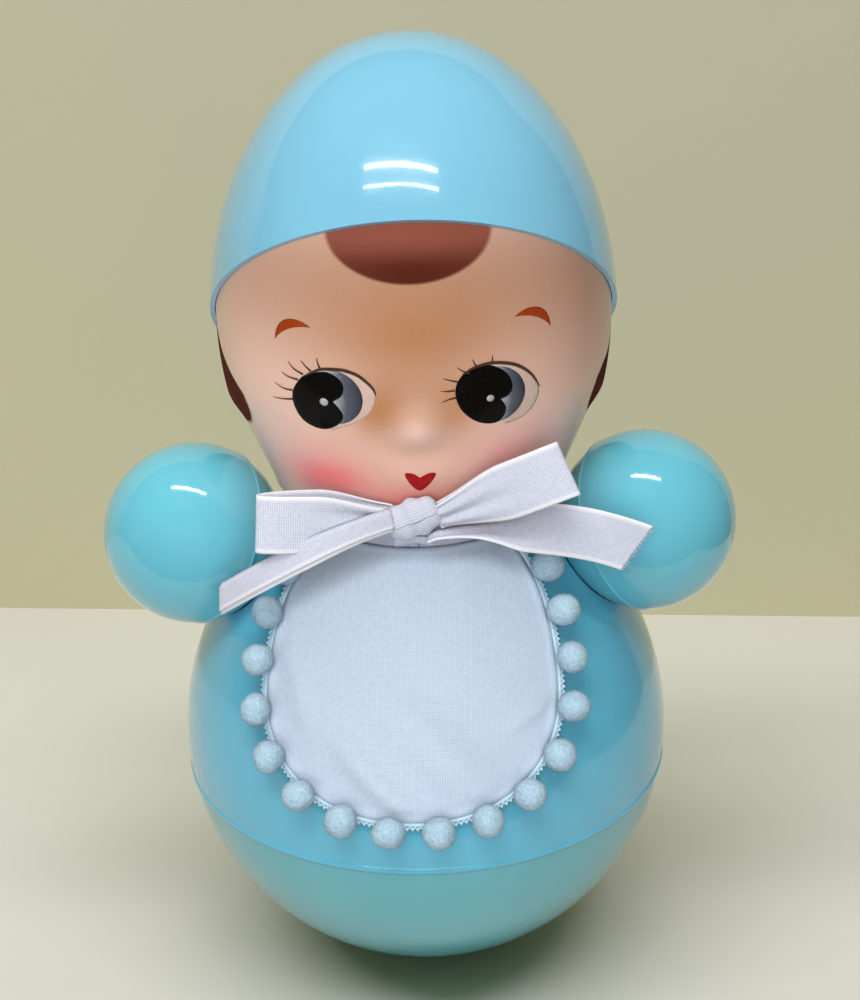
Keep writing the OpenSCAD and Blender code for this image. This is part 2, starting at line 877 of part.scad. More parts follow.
// Soft fold that runs slantwise across the lower bib and dies out before its edge
function bib_fold(across, s, half) =
  let (d = (s - bib_widest - fold_shift) * cos(fold_turn) - across * sin(fold_turn))
  fold_h * bump(d, 0, fold_soft, fold_soft)
  * smooth((bib_l - fold_edge - s) / fold_soft) * smooth((half - fold_edge - abs(across)) / fold_soft);

function bib_row(turn) =
  let (edge = bib_edge(turn, 0), half = -edge[0], s = edge[1])
  concat(
    [
      for (j = [0:bib_columns])
        let (a = half * (2 * j / bib_columns - 1))
        on_body(a, s, soft_gap + bib_t + bib_fold(a, s, half))
    ],
    [
      for (j = [bib_columns:-1:0])
        let (a = half * (2 * j / bib_columns - 1))
        on_body(a, s, soft_gap + bib_fold(a, s, half))
    ]
  );

module bib_cloth() {
  color(cloth_white)
  skin(concat(
    [for (i = [0:bib_rows_upper - 1]) bib_row(bib_first_turn * (1 - i / bib_rows_upper))],
    [for (i = [0:bib_rows_lower]) bib_row(bib_last_turn * i / bib_rows_lower)]
  ));
}

function trim_point(turn, out, lift) = let (edge = bib_edge(turn, out)) on_body(edge[0], edge[1], lift);

function trim_turn(share) = bib_first_turn + (180 - 2 * bib_first_turn) * share;

module bib_braid() {
  lift = soft_gap + braid_t / 2;
  nudge_share = 1 / braid_rings / 4;
  color(trim_blue)
  skin([
    for (i = [0:braid_rings])
      let (
        share = i / braid_rings,
        middle = trim_point(trim_turn(share), braid_out, lift),
        ahead = trim_point(trim_turn(share + nudge_share), braid_out, lift),
        raised = trim_point(trim_turn(share), braid_out, lift + braid_t),
        up = (raised - middle) / norm(raised - middle),
        side_raw = cross(ahead - middle, up),
        side = side_raw / norm(side_raw)
      )
      [
        for (corner = braid_corner_shares)
          middle + side * corner[0] * braid_w / 2 + up * corner[1] * braid_t / 2
      ]
  ]);
}

// Table of distance along the trim against share of the trim's turn
function trim_table(points, i = 0, length = 0) =
  i == len(points) ? [] :
  let (length_here = i == 0 ? 0 : length + norm(points[i] - points[i - 1]))
  concat([[length_here, i / (len(points) - 1)]], trim_table(points, i + 1, length_here));

// The pom-poms have slipped a little to the doll's left with the loose braid
function pompom_point(share) =
  let (edge = bib_edge(trim_turn(share), pompom_out))
  on_body(edge[0] + pompom_slip, edge[1], pompom_lift);

module pompoms() {
  table = trim_table([for (i = [0:trim_points]) pompom_point(i / trim_points)]);
  total = table[trim_points][0];
  color(trim_blue)
  for (k = [0:pompom_count - 1])
    translate(pompom_point(lookup(total * (k + 1 / 2) / pompom_count, table)))
      sphere(pompom_r);
}

// Ribbon: flat strips between sections, each a middle and half of the ribbon's width as a vector

knot_y = -(face_base(knot_z + knot_h / 2) + knot_gap + knot_d / 2);
knot_c = [-knot_shift, knot_y, knot_z];

module strip(middles, halves) {
  last = len(middles) - 1;
  skin([
    for (i = [0:last])
      let (
        along = middles[min(last, i + 1)] - middles[max(0, i - 1)],
        face_raw = cross(along, halves[i]),
        thick = face_raw / norm(face_raw) * ribbon_t / 2,
        m = middles[i],
        h = halves[i]
      )
      [m + h - thick, m - h - thick, m - h + thick, m + h + thick]
  ]);
}

function curve(p, t) =
  pow(1 - t, 3) * p[0] + 3 * t * pow(1 - t, 2) * p[1] + 3 * t * t * (1 - t) * p[2] + pow(t, 3) * p[3];

module ribbon_neck_band() {
  color(ribbon_white)
  translate([0, 0, neck_z + band_gap])
  rotate_extrude() ring_section(neck_r + band_gap, neck_r + band_gap + band_t, 0, band_h);
}

// The two ends of the ribbon, laid together, rise from the band to the back of the knot
module ribbon_crossing() {
  band_front = -(neck_r + band_gap + band_t + seat_gap + ribbon_t);
  low = [-knot_shift, band_front, neck_z + band_h];
  high = knot_c + [0, knot_d / 4, -knot_h / 2 - seat_gap];
  bend = [-knot_shift, (band_front + knot_y) / 2, low[2]];
  route = [low, bend, [-knot_shift, high[1], low[2]], high];
  color(ribbon_white)
  strip(
    [for (i = [0:tail_samples]) curve(route, i / tail_samples)],
    [for (i = [0:tail_samples]) [crossing_w / 2, 0, 0]]
  );
}

module bow_knot() {
  color(ribbon_white)
  translate(knot_c)
  skin([
    for (i = [0:knot_rings])
      let (
        v = 2 * i / knot_rings - 1,
        size = knot_cap_share + (1 - knot_cap_share) * sqrt(max(0, 1 - v * v))
      )
      [
        for (j = [0:knot_sides - 1])
          let (a = 360 * (j + 0.5) / knot_sides)
          [v * knot_w / 2, -size * knot_d / 2 * cos(a), size * knot_h / 2 * sin(a)]
      ]
  ]);
}

// Half width of the knot at a place before or behind and above or below its middle
function knot_side(y, z) =
  let (
    size = norm([2 * y / knot_d, 2 * z / knot_h]),
    v = min(1, max(0, (size - knot_cap_share) / (1 - knot_cap_share)))
  )
  knot_w / 2 * sqrt(1 - v * v);

// Distance from the knot's middle at which the end of a ribbon clears the knot's side
function root_reach(side, start, half) =
  soft_gap + ribbon_t + max([
    for (k = [-1:root_step_share:1])
      knot_side(start[0] + k * half[1], start[1] + k * half[2]) - side * k * half[0]
  ]);

// Way across a loop's ribbon, which leans forward at the knot and turns back towards its tip
function loop_way(side, up_turn, out) =
  let (lean = loop_lean_turn - loop_twist_turn * out)
  [-side * sin(up_turn) * cos(lean), -sin(lean), cos(up_turn) * cos(lean)];

// A loop leaves the back of the knot's side, turns at its reach and comes back in front
module bow_loop(side, reach, up_turn, shear) {
  out_way = [side * cos(up_turn), 0, sin(up_turn)];
  root_half = loop_way(side, up_turn, 0) * ribbon_w / 2 * gather_share;
  root_x = max([for (end = [-1, 1]) root_reach(side, [loop_back + end * knot_d / 4, 0], root_half)]);
  root = knot_c + [side * root_x, loop_back, 0];
  color(ribbon_white)
  strip(
    [
      for (i = [0:loop_samples])
        let (t = i / loop_samples, out = (1 - cos(360 * t)) / 2)
        root + out_way * reach * out
        + [0, loop_depth / 2 * sin(360 * t) * sqrt(out) + knot_d / 4 * cos(180 * t) - loop_lead * out, 0]
        + loop_way(side, up_turn, out) * shear * cos(180 * t) * out
    ],
    [
      for (i = [0:loop_samples])
        let (out = (1 - cos(360 * i / loop_samples)) / 2)
        loop_way(side, up_turn, out) * ribbon_w / 2
        * (gather_share + (1 - gather_share) * smooth(out / gather_share))
    ]
  );
}

module left_bow_loop() bow_loop(1, left_loop_reach, left_loop_turn, -loop_shear);
module right_bow_loop() bow_loop(-1, right_loop_reach, right_loop_turn, -loop_shear / 3);

// A tail leaves the knot's side, swings forward by lead, or back, and falls to its end as it turns over
module bow_tail(side, reach, drop, root_share, fall_share, lead, width, first_share, last_share) {
  start = [knot_d * root_share[0], knot_h * root_share[1]];
  root_half = first_share / norm(first_share) * width / 2 * gather_share;
  first = knot_c + [side * root_reach(side, start, root_half), start[0], start[1]];
  end = knot_c + [side * reach, tail_back, -drop];
  run = end - first;
  route = [
    first,
    first + [run[0] / 3, -lead, run[2] * fall_share[0]],
    first + [run[0] * 2 / 3, -lead, run[2] * fall_share[1]],
    end
  ];
  color(ribbon_white)
  strip(
    [for (i = [0:tail_samples]) curve(route, i / tail_samples)],
    [
      for (i = [0:tail_samples])
        let (t = smooth(i / tail_samples), way = first_share * (1 - t) + last_share * t)
        way / norm(way) * width / 2 * (gather_share + (1 - gather_share) * smooth(t / gather_share))
    ]
  );
}

module left_bow_tail()
  bow_tail(
    1, left_tail_reach, left_tail_drop, left_root_share, left_fall_share,
    left_tail_lead, ribbon_w, left_first_share, left_last_share
  );

module right_bow_tail()
  bow_tail(
    -1, right_tail_reach, right_tail_drop, right_root_share, right_fall_share,
    right_tail_lead, right_tail_w, right_first_share, right_last_share
  );

lower_bowl();
upper_body();
base_weight();
chime_plate();
plate_screws();
left_rod_block();
right_rod_block();
block_screws();
chime_rod(0);  // chime_rod_1
chime_rod(1);  // chime_rod_2
chime_rod(2);  // chime_rod_3
chime_rod(3);  // chime_rod_4
hammer_pin();
hammer_arm();
hammer_head();
left_arm_outer();
left_arm_inner();
left_arm_washer();
right_arm_outer();
right_arm_inner();
right_arm_washer();
neck_piece();
neck_retainer();
face_shell();
bonnet();
left_eye_print();
right_eye_print();
brow_prints();
lip_print();
bib_cloth();
bib_braid();
pompoms();
ribbon_neck_band();
ribbon_crossing();
bow_knot();
left_bow_loop();
right_bow_loop();
left_bow_tail();
right_bow_tail();
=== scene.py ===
from math import asin, copysign, cos, exp, hypot, pi, radians, sin, sqrt, tan
import random
import bpy
from mathutils import Matrix, Vector
from mathutils.geometry import delaunay_2d_cdt


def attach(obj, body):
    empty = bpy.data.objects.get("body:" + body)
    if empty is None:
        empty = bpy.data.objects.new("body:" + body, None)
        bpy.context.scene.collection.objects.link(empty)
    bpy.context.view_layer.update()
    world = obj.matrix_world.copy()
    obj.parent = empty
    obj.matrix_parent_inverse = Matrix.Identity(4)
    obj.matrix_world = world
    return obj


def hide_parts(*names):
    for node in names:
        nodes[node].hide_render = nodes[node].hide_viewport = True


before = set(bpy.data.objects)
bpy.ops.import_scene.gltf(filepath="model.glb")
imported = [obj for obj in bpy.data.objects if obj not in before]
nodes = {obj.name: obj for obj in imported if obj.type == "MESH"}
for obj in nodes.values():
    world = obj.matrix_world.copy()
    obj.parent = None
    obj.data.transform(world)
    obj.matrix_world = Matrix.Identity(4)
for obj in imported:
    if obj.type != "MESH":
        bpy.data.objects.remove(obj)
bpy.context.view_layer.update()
mm = 0.001
scene = bpy.context.scene
print("stage: frame loaded,", len(nodes), "nodes")


# small helpers

def smooth(t):
    c = min(1, max(0, t))
    return c * c * (3 - 2 * c)


def bump(x, z, a, b):
    return exp(-(x / a) ** 2 - (z / b) ** 2)


def mix(a, b, t):
    return a + (b - a) * t


def around(turn, r, z):  # turn in radians from the front
    return Vector((r * sin(turn), -r * cos(turn), z))


def curve(p, steps):  # a line bent by four points
    line = []
    for i in range(steps + 1):
        t = i / steps
        s = 1 - t
        line.append(s ** 3 * p[0] + 3 * t * s * s * p[1] + 3 * t * t * s * p[2] + t ** 3 * p[3])
    return line


def heading(line, i):
    return line[min(len(line) - 1, i + 1)] - line[max(0, i - 1)]


def runsAlong(line):  # the length from a line's start to each of its points
    runs = [0]
    for a, b in zip(line, line[1:]):
        runs.append(runs[-1] + (b - a).length)
    return runs


def anyWay(chance, size):
    return Vector([chance.gauss(0, size) for k in range(3)])


def throughPoints(points, steps, closed=False):  # smooth line through points, each one kept
    n = len(points)
    spans = n if closed else n - 1
    out = []
    for i in range(spans):
        picks = [k % n if closed else min(n - 1, max(0, k)) for k in range(i - 1, i + 3)]
        a, b, c, d = (points[k] for k in picks)
        for j in range(steps):
            t = j / steps
            out.append(tuple(
                0.5 * (2 * q + (r - p) * t + (2 * p - 5 * q + 4 * r - s) * t * t
                       + (3 * q - p - 3 * r + s) * t ** 3)
                for p, q, r, s in zip(a, b, c, d)))
    if not closed:
        out.append(tuple(points[-1]))
    return out


def addObject(name, data):
    thing = bpy.data.objects.new(name, data)
    scene.collection.objects.link(thing)
    return thing


def makePiece(name, body, points, faces, material, replaced=()):
    mesh = bpy.data.meshes.new(name)
    mesh.from_pydata([Vector(p) * mm for p in points], [], faces)
    mesh.validate()
    mesh.update()
    for polygon in mesh.polygons:
        polygon.use_smooth = True
    piece = addObject(name, mesh)
    for each in material if isinstance(material, (list, tuple)) else [material]:
        mesh.materials.append(each)
    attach(piece, body)
    if replaced:
        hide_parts(*replaced)
    return piece


def giveNumber(piece, name, values):  # one number per vertex, for the material
    layer = piece.data.attributes.new(name, "FLOAT", "POINT")
    layer.data.foreach_set("value", values)


def giveFlat(piece, places):  # place on the flat cloth in metres, per vertex
    layer = piece.data.attributes.new("flat", "FLOAT_VECTOR", "POINT")
    layer.data.foreach_set("vector", [c * mm for p in places for c in (p[0], p[1], 0)])


def ringFaces(rings, count, closed=True):  # closed joins the last ring of points to the first
    faces = []
    for i in range(rings if closed else rings - 1):
        a = i * count
        b = (i + 1) % rings * count
        for j in range(count):
            k = (j + 1) % count
            faces.append((a + j, b + j, b + k, a + k))
    return faces


def flipped(faces):  # turned over, each from the same first point
    return [(a, d, c, b) for a, b, c, d in faces]


def addTo(points, faces, newPoints, newFaces):
    start = len(points)
    points.extend(newPoints)
    faces.extend(tuple(start + i for i in face) for face in newFaces)


# materials

def feed(node, **inputs):  # links sockets and sets plain values
    for key, value in inputs.items():
        socket = node.inputs[key.replace("_", " ")]
        if isinstance(value, bpy.types.NodeSocket):
            node.id_data.links.new(value, socket)
        else:
            socket.default_value = value


def addNode(tree, kind, **inputs):
    node = tree.nodes.new("ShaderNode" + kind)
    feed(node, **inputs)
    return node


def startMaterial(name, rough, **inputs):
    material = bpy.data.materials.new(name)
    material.use_nodes = True
    tree = material.node_tree
    shader = tree.nodes["Principled BSDF"]
    feed(shader, Roughness=rough, **inputs)
    return material, tree, shader


def number(tree, name, kind="Fac"):  # what the mesh holds at each vertex
    node = addNode(tree, "Attribute")
    node.attribute_name = name
    return node.outputs[kind]


def place(tree):
    return addNode(tree, "TexCoord").outputs["Object"]


def noise(where, scale, detail=2):
    return addNode(where.id_data, "TexNoise", Vector=where, Scale=scale, Detail=detail).outputs["Fac"]


def ramp(source, stops):
    node = addNode(source.id_data, "ValToRGB", Fac=source)
    elements = node.color_ramp.elements
    while len(elements) < len(stops):
        elements.new(0.5)
    for element, (at, colour) in zip(elements, stops):
        element.position = at
        element.color = (*colour, 1)
    return node.outputs["Color"]


def spread(source, low, high, fromLow=0.3, fromHigh=0.7):
    node = addNode(source.id_data, "MapRange", Value=source, From_Min=fromLow, From_Max=fromHigh)
    feed(node, To_Min=low, To_Max=high)
    return node.outputs["Result"]


def join(operation, a, b):
    node = addNode(a.id_data, "Math")
    node.operation = operation
    for socket, value in zip(node.inputs, (a, b)):
        a.id_data.links.new(value, socket)
    return node.outputs["Value"]


def blendColours(share, under, over):
    node = addNode(share.id_data, "Mix", Factor=share)
    node.data_type = "RGBA"
    for key, value in (("A", under), ("B", over)):
        socket = next(s for s in node.inputs if s.name == key and s.type == "RGBA")
        if isinstance(value, tuple):
            socket.default_value = (*value, 1)
        else:
            share.id_data.links.new(value, socket)
    return next(s for s in node.outputs if s.type == "RGBA")


def raiseSurface(shader, height, distance, strength=1):
    node = addNode(shader.id_data, "Bump", Height=height, Distance=distance, Strength=strength)
    feed(shader, Normal=node.outputs["Normal"])


def mottled(name, low, high, rough, tone, wear=None, raised=None, stretch=None, **inputs):
    # tone, wear and raised start with a noise's scale and detail
    material, tree, shader = startMaterial(name, rough, **inputs)
    where = place(tree)
    if stretch:
        where = addNode(tree, "Mapping", Vector=where, Scale=stretch).outputs["Vector"]
    feed(shader, Base_Color=ramp(noise(where, *tone), [(0.3, low), (0.7, high)]))
    if wear:
        scale, detail, least, most = wear
        worn = spread(noise(where, scale, detail), rough * least, rough * most)
        feed(shader, Roughness=worn)
    if raised:
        scale, detail, *heights = raised
        raiseSurface(shader, noise(where, scale, detail), *heights)
    return material


def weaveHeights(tree, pitchAcross, pitchAlong):  # threads over and under, from the flat cloth
    flat = number(tree, "flat", "Vector")
    heights = []
    for direction, pitch in (("X", pitchAcross), ("Y", pitchAlong)):
        wave = addNode(tree, "TexWave", Vector=flat, Scale=pi / (10 * pitch), Distortion=0.6, Detail=1)
        feed(wave, Detail_Scale=120)
        wave.bands_direction = direction
        heights.append(wave.outputs["Fac"])
    return flat, heights


def clothMaterial(name, dark, light, pitchAcross, pitchAlong, depth, rough, edge=None, **inputs):
    material, tree, shader = startMaterial(name, rough, **inputs)
    flat, (across, along) = weaveHeights(tree, pitchAcross, pitchAlong)
    threads = join("MAXIMUM", across, along)
    slubs = noise(flat, 700, 3)
    mixed = join("MULTIPLY", threads, spread(slubs, 0.75, 1.1))
    tone = ramp(mixed, [(0.45, dark), (0.95, light)])
    if edge:  # a paler woven edge
        tone = blendColours(number(tree, "edge"), tone, edge)
    feed(shader, Base_Color=tone)
    raiseSurface(shader, mixed, depth)
    return material


def coated(weight, rough):
    return {"IOR": 1.5, "Coat_Weight": weight, "Coat_Roughness": rough}


sides = ("left", "right")
armShells = [side + "_arm_" + half for side in sides for half in ("outer", "inner")]
steelParts = ["neck_retainer", "plate_screws", "block_screws", "hammer_pin"]
steelParts += [side + part for side in sides for part in ("_arm_washer", "_rod_block")]
rods = ["chime_rod_" + str(k) for k in range(1, 5)]
finishes = (  # name, colour, roughness, how far the colour varies, other inputs, nodes
    ("bodyPlastic", (0.09, 0.385, 0.55), 0.16, 0.04, coated(0.6, 0.05), ["upper_body"]),
    # the bowl is the body's plastic, painted darker and greener: painted shade under the body and a painted
    # reflection of the cream floor
    ("bowlPlasticPaintedShade", (0.09, 0.34, 0.40), 0.16, 0.04, coated(0.6, 0.05), ["lower_bowl"]),
    ("armPlastic", (0.115, 0.45, 0.58), 0.12, 0.04, coated(0.8, 0.03), armShells),
    ("bonnetPlastic", (0.17, 0.445, 0.625), 0.13, 0.04, coated(0.9, 0.03), ["bonnet"]),
    ("neckPlastic", (0.62, 0.40, 0.30), 0.25, 0.04, {"IOR": 1.48}, ["neck_piece"]),
    ("platePlastic", (0.66, 0.61, 0.47), 0.35, 0.04, {}, ["chime_plate", "hammer_arm"]),
    ("steel", (0.56, 0.57, 0.58), 0.28, 0.1, {"Metallic": 1.0}, steelParts),
    ("rodSteel", (0.66, 0.66, 0.64), 0.18, 0.06, {"Metallic": 1.0}, rods),
    ("iron", (0.10, 0.10, 0.105), 0.55, 0.25, {"Metallic": 0.8}, ["base_weight"]),
)


def dress(names, material):
    for name in names:
        nodes[name].data.materials.clear()
        nodes[name].data.materials.append(material)


for name, colour, rough, varied, inputs, names in finishes:
    low = [c * (1 - varied) for c in colour]
    high = [min(1, c * (1 + varied)) for c in colour]
    dress(names, mottled(name, low, high, rough, (22, 2), (160, 4, 0.8, 1.25), (900, 3, 0.00002), **inputs))
dress(["hammer_head"], mottled("hammerWood", (0.36, 0.21, 0.10), (0.62, 0.42, 0.24), 0.45, (700, 5),
                               raised=(700, 5, 0.0001), stretch=(1, 1, 0.12)))
print("stage: kept nodes have their materials")

# the face, whose form follows the frame's face shell

head = dict(
    z=199.99, neckTop=148.99, jawZ=154.99, jawR=41.7, jawH=6, neckR=29.5, holeR=21.6, r=56.7, sideR=98.5,
    sideTurn=radians(25), upperR=72.5, upperTurn=radians(50), step=1.6, cheekDrop=2, jawSlope=0.36,
    rimTilt=radians(37.5), lip=8, shellT=1.6, hairY=-17, hairSoft=4, hairLow=29, hairLowSoft=9,
    hairSlope=0.2, columns=264, rows=96, underRows=8, frontShare=0.55,
)
reliefs = [  # height, x, drop, half width, half height
    (3.4, 0, 15.5, 6, 5),
    (-1.4, 0, 7, 11, 7),
    (0.9, 20.5, 7.5, 11, 9),
    (0.9, -20.5, 7.5, 11, 9),
    (1.0, 0, 32, 8, 5),
    (1.2, 0, 40, 11, 6),
]
sideWay, upperWay = (Vector((cos(head[turn]), sin(head[turn]))) for turn in ("sideTurn", "upperTurn"))
sideC = Vector((head["r"] - head["sideR"], head["z"]))
sideEnd = sideC + head["sideR"] * sideWay
upperC = sideEnd - head["upperR"] * sideWay
upperEnd = upperC + head["upperR"] * upperWay
crownR = upperEnd.x / cos(head["upperTurn"])
crownZ = upperEnd.y - crownR * sin(head["upperTurn"])
cheekTop = head["z"] - head["cheekDrop"]


def bonnetR(z):
    if z < sideEnd.y:
        return sideC.x + sqrt(max(0, head["sideR"] ** 2 - (z - sideC.y) ** 2))
    if z < upperEnd.y:
        return upperC.x + sqrt(max(0, head["upperR"] ** 2 - (z - upperC.y) ** 2))
    return sqrt(max(0, crownR ** 2 - (z - crownZ) ** 2))


def faceBase(z):
    if z > cheekTop:
        return bonnetR(z) - head["step"]
    span = cheekTop - head["jawZ"]
    t = min(1, (cheekTop - z) / span)
    topPart = 2 * t ** 3 - 3 * t ** 2 + 1
    slopePart = t ** 3 - t ** 2
    topR = bonnetR(cheekTop) - head["step"]
    return topPart * topR + (1 - topPart) * head["jawR"] - slopePart * head["jawSlope"] * span


def hairShare(turn, z):
    y = -faceBase(z) * cos(turn)
    behind = smooth((y - head["hairY"]) / head["hairSoft"])
    return behind * smooth((z - head["z"] + head["hairLow"] + head["hairSlope"] * y) / head["hairLowSoft"])


def faceR(turn, z):
    base = faceBase(z)
    r = base + (bonnetR(z) - head["step"] - base) * hairShare(turn, z)
    if cos(turn) > 0:
        x = base * sin(turn)
        d = z - head["z"]
        r += sum(h * bump(x - cx, d + drop, a, b) for h, cx, drop, a, b in reliefs)
    return r


def rimZ(turn, lift):
    z = head["z"]
    for k in range(24):
        flatR = bonnetR(z) - head["step"]
        z = (z + head["z"] + lift + tan(head["rimTilt"]) * flatR * cos(turn)) / 2
    return z


def onFace(x, d, lift):  # place on the face seen from the front, d above the head's middle
    z = head["z"] + d
    turn = asin(max(-1, min(1, x / faceBase(z))))
    return around(turn, faceR(turn, z) + lift, z)


paint = dict(  # patches of colour, sprayed tone and painted shade: x, height, half width, half height, share
    blush=[(-24.2, -34.1, 11, 6.5, 0.95), (26, -31, 11, 7, 0.5), (-25, -25, 13, 8, 0.22),
           (25, -24, 13, 8, 0.18), (0, -41, 13, 6, 0.75), (0, -27, 9, 4, 0.1)],
    # The warm patches: the forehead one is partly sprayed tone and partly painted shade, those between the
    # eyes and beside the nose are painted shade in the hollows, the one under the nose is painted warm bounce
    # light, the negative one keeps the nose tip light as a painted highlight, the chin one darkens the chin.
    warmTintAndShade=[(0, 9, 26, 14, 0.8), (0, -8, 12, 8, 0.25), (-10.5, -12, 8, 9, 0.7), (10, -12, 7, 9, 0.6),
          (0, -41, 12, 5, 0.6), (0, -17, 5, 5, -0.3), (0, -22, 7, 3, 0.35)],
    # The tan patches: the broad one over the forehead is partly sprayed tone and partly painted shade, the
    # one at x 48 is painted shade on that side of the face, the one round the mouth makes it browner.
    tan=[(0, 22, 70, 20, 0.85), (48, 2, 14, 24, 0.3), (0, -36, 18, 8, 0.4)],
    forelock=(-0.9, 34.5, 20.8, 12.2),  # x, height, half width, half height
    lockLeast=0.12, lockGain=0.8, lockFade=8, lockHalf=16, lockSideShare=0.7,
)
sideHair = dict(  # the brown paint beside the face: the line of its front edge, then its lower edge
    y=-25, d=-12, slope=1.1, frontmost=-27, leftBack=6, low=30, lowSlope=0.25, rounded=7, soft=1.4,
)


def patches(name, x, d):
    return min(1, max(0, sum(share * bump(x - cx, d - cd, a, b) for cx, cd, a, b, share in paint[name])))


def lockDark(x, d):  # the forelock darkens toward its lower edge
    low = smooth((paint["forelock"][1] - 1 - d) / paint["lockFade"])
    middle = mix(paint["lockSideShare"], 1, bump(x, 0, paint["lockHalf"], 1))
    return paint["lockLeast"] + paint["lockGain"] * low * middle


def sideHairShare(x, y, d):  # grows inward from a rounded edge
    line = max(sideHair["frontmost"], sideHair["y"] + sideHair["slope"] * (d - sideHair["d"]))
    if x > 0:
        line += sideHair["leftBack"]
    r = sideHair["rounded"]
    above = d + sideHair["low"] + sideHair["lowSlope"] * y
    return (r - hypot(max(0, r - (y - line)), max(0, r - above))) / sideHair["soft"]


def lockShares(tree):  # 1 inside the forelock's oval, with a crisp edge
    cx, cd, a, b = paint["forelock"]
    squeeze = addNode(tree, "Mapping", Vector=number(tree, "spot", "Vector"))
    feed(squeeze, Location=(-cx / a / 2, -cd / b / 2, 0), Scale=(1 / a / 2, 1 / b / 2, 0))
    oval = addNode(tree, "TexGradient", Vector=squeeze.outputs["Vector"])
    oval.gradient_type = "SPHERICAL"
    return ramp(oval.outputs["Fac"], [(0.485, (0, 0, 0)), (0.515, (1, 1, 1))])


def skinMaterial():
    material, tree, shader = startMaterial("skinPlastic", 0.24, IOR=1.48)
    where = place(tree)
    colour = ramp(noise(where, 30), [(0.3, (0.76, 0.525, 0.445)), (0.7, (0.79, 0.545, 0.465))])
    spray = spread(noise(where, 2600, 2), 0.93, 1.02)
    # the warm and tan colours carry painted shade as well as sprayed tone; blush is sprayed pink
    tonesAndShade = (("tan", (0.40, 0.205, 0.125)), ("warmTintAndShade", (0.40, 0.17, 0.055)), ("blush", (0.83, 0.17, 0.19)))
    for name, over in tonesAndShade:
        speckled = join("MULTIPLY", number(tree, name), spray)
        colour = blendColours(speckled, colour, over)
    lock = lockShares(tree)
    colour = blendColours(lock, colour, (0.28, 0.088, 0.062))
    hair = spread(number(tree, "hair"), 0, 0.97, 0, 1)
    hairTone = (0.074, 0.013, 0.007)
    lowLock = join("MULTIPLY", lock, number(tree, "lockDark"))
    colour = blendColours(lowLock, colour, hairTone)
    colour = blendColours(hair, colour, hairTone)
    shine = spread(join("MAXIMUM", lock, hair), 0.4, 0, 0, 0.6)  # the hair's paint is matt
    feed(shader, Base_Color=colour, Specular_IOR_Level=shine)
    raiseSurface(shader, noise(where, 1100, 3), 0.00001)
    return material


def buildFace():
    points = []
    shares = {"warmTintAndShade": [], "blush": [], "tan": [], "hair": [], "lockDark": []}
    spots = []
    cols = head["columns"]
    for i in range(cols):
        u = 2 * i / cols - 1
        turn = pi * (head["frontShare"] * u + (1 - head["frontShare"]) * u ** 3)
        top = rimZ(turn, head["lip"])
        section = [(head["holeR"], head["neckTop"])]
        for k in range(head["underRows"]):
            a = pi / 2 * k / head["underRows"]
            underR = mix(head["neckR"], head["jawR"], sin(a))
            section.append((underR, head["jawZ"] - head["jawH"] * cos(a)))
        for k in range(head["rows"] + 1):
            z = mix(head["jawZ"], top, k / head["rows"])
            section.append((faceR(turn, z), z))
        for k in range(head["rows"] // 4, -1, -1):
            z = mix(head["jawZ"], top, 4 * k / head["rows"])
            section.append((min(faceBase(z), faceR(turn, z)) - head["shellT"], z))
        section.append((head["holeR"], head["neckTop"] + head["shellT"]))
        for r, z in section:
            points.append(around(turn, r, z))
            x = r * sin(turn)
            d = z - head["z"]
            front = smooth((cos(turn) - 0.05) / 0.2)
            for name in ("warmTintAndShade", "blush", "tan"):
                shares[name].append(front * patches(name, x, d))
            shares["lockDark"].append(lockDark(x, d))
            spots.extend((x, d, 0) if cos(turn) > 0 else (999, 999, 0))
            shares["hair"].append(sideHairShare(x, -r * cos(turn), d))
    faces = ringFaces(cols, len(section))
    piece = makePiece("face", "head", points, faces, skinMaterial(), ["face_shell"])
    for name, values in shares.items():
        giveNumber(piece, name, values)
    piece.data.attributes.new("spot", "FLOAT_VECTOR", "POINT").data.foreach_set("vector", spots)


buildFace()
print("stage: face built")


# thin painted films on the face

film = dict(
    lift=0.03, layer=0.06, thick=0.05, whiteThick=0.03, browThick=0.06, lipThick=0.08, paintLift=0.04,
    spacing=0.7, edgeGap=0.315,
)


def filmParts(outline, lift, thick):
    spacing = film["spacing"]
    outline = [Vector(p[:2]) for p in outline]
    low = [min(p[k] for p in outline) for k in (0, 1)]
    high = [max(p[k] for p in outline) for k in (0, 1)]
    n = len(outline)
    places = list(outline)

    def inside(q):
        hit = False
        for i in range(n):
            a = outline[i]
            b = outline[(i + 1) % n]
            if (a.y > q.y) != (b.y > q.y) and q.x < (b.x - a.x) * (q.y - a.y) / (b.y - a.y) + a.x:
                hit = not hit
        return hit

    across = max(1, int((high[0] - low[0]) / spacing))
    along = max(1, int((high[1] - low[1]) / spacing))
    for i in range(1, across):
        for j in range(1, along):
            q = Vector((mix(low[0], high[0], i / across), mix(low[1], high[1], j / along)))
            near = min((q - p).length for p in outline)
            if near > film["edgeGap"] and inside(q):
                places.append(q)
    edges = [(i, (i + 1) % n) for i in range(n)]
    flat, _, triangles, *_ = delaunay_2d_cdt(places, edges, [], 1, 1e-6)
    m = len(flat)
    points = [onFace(p.x, p.y, lift + thick) for p in flat] + [onFace(p.x, p.y, lift) for p in flat]
    faces = [tuple(t) for t in triangles] + [tuple(m + i for i in reversed(t)) for t in triangles]
    used = {}
    for t in triangles:
        for i in range(len(t)):
            used[(t[i], t[(i + 1) % len(t)])] = True
    for a, b in used:
        if (b, a) not in used:
            faces.append((b, a, m + a, m + b))
    return points, faces, [(p.x, p.y) for p in flat] * 2


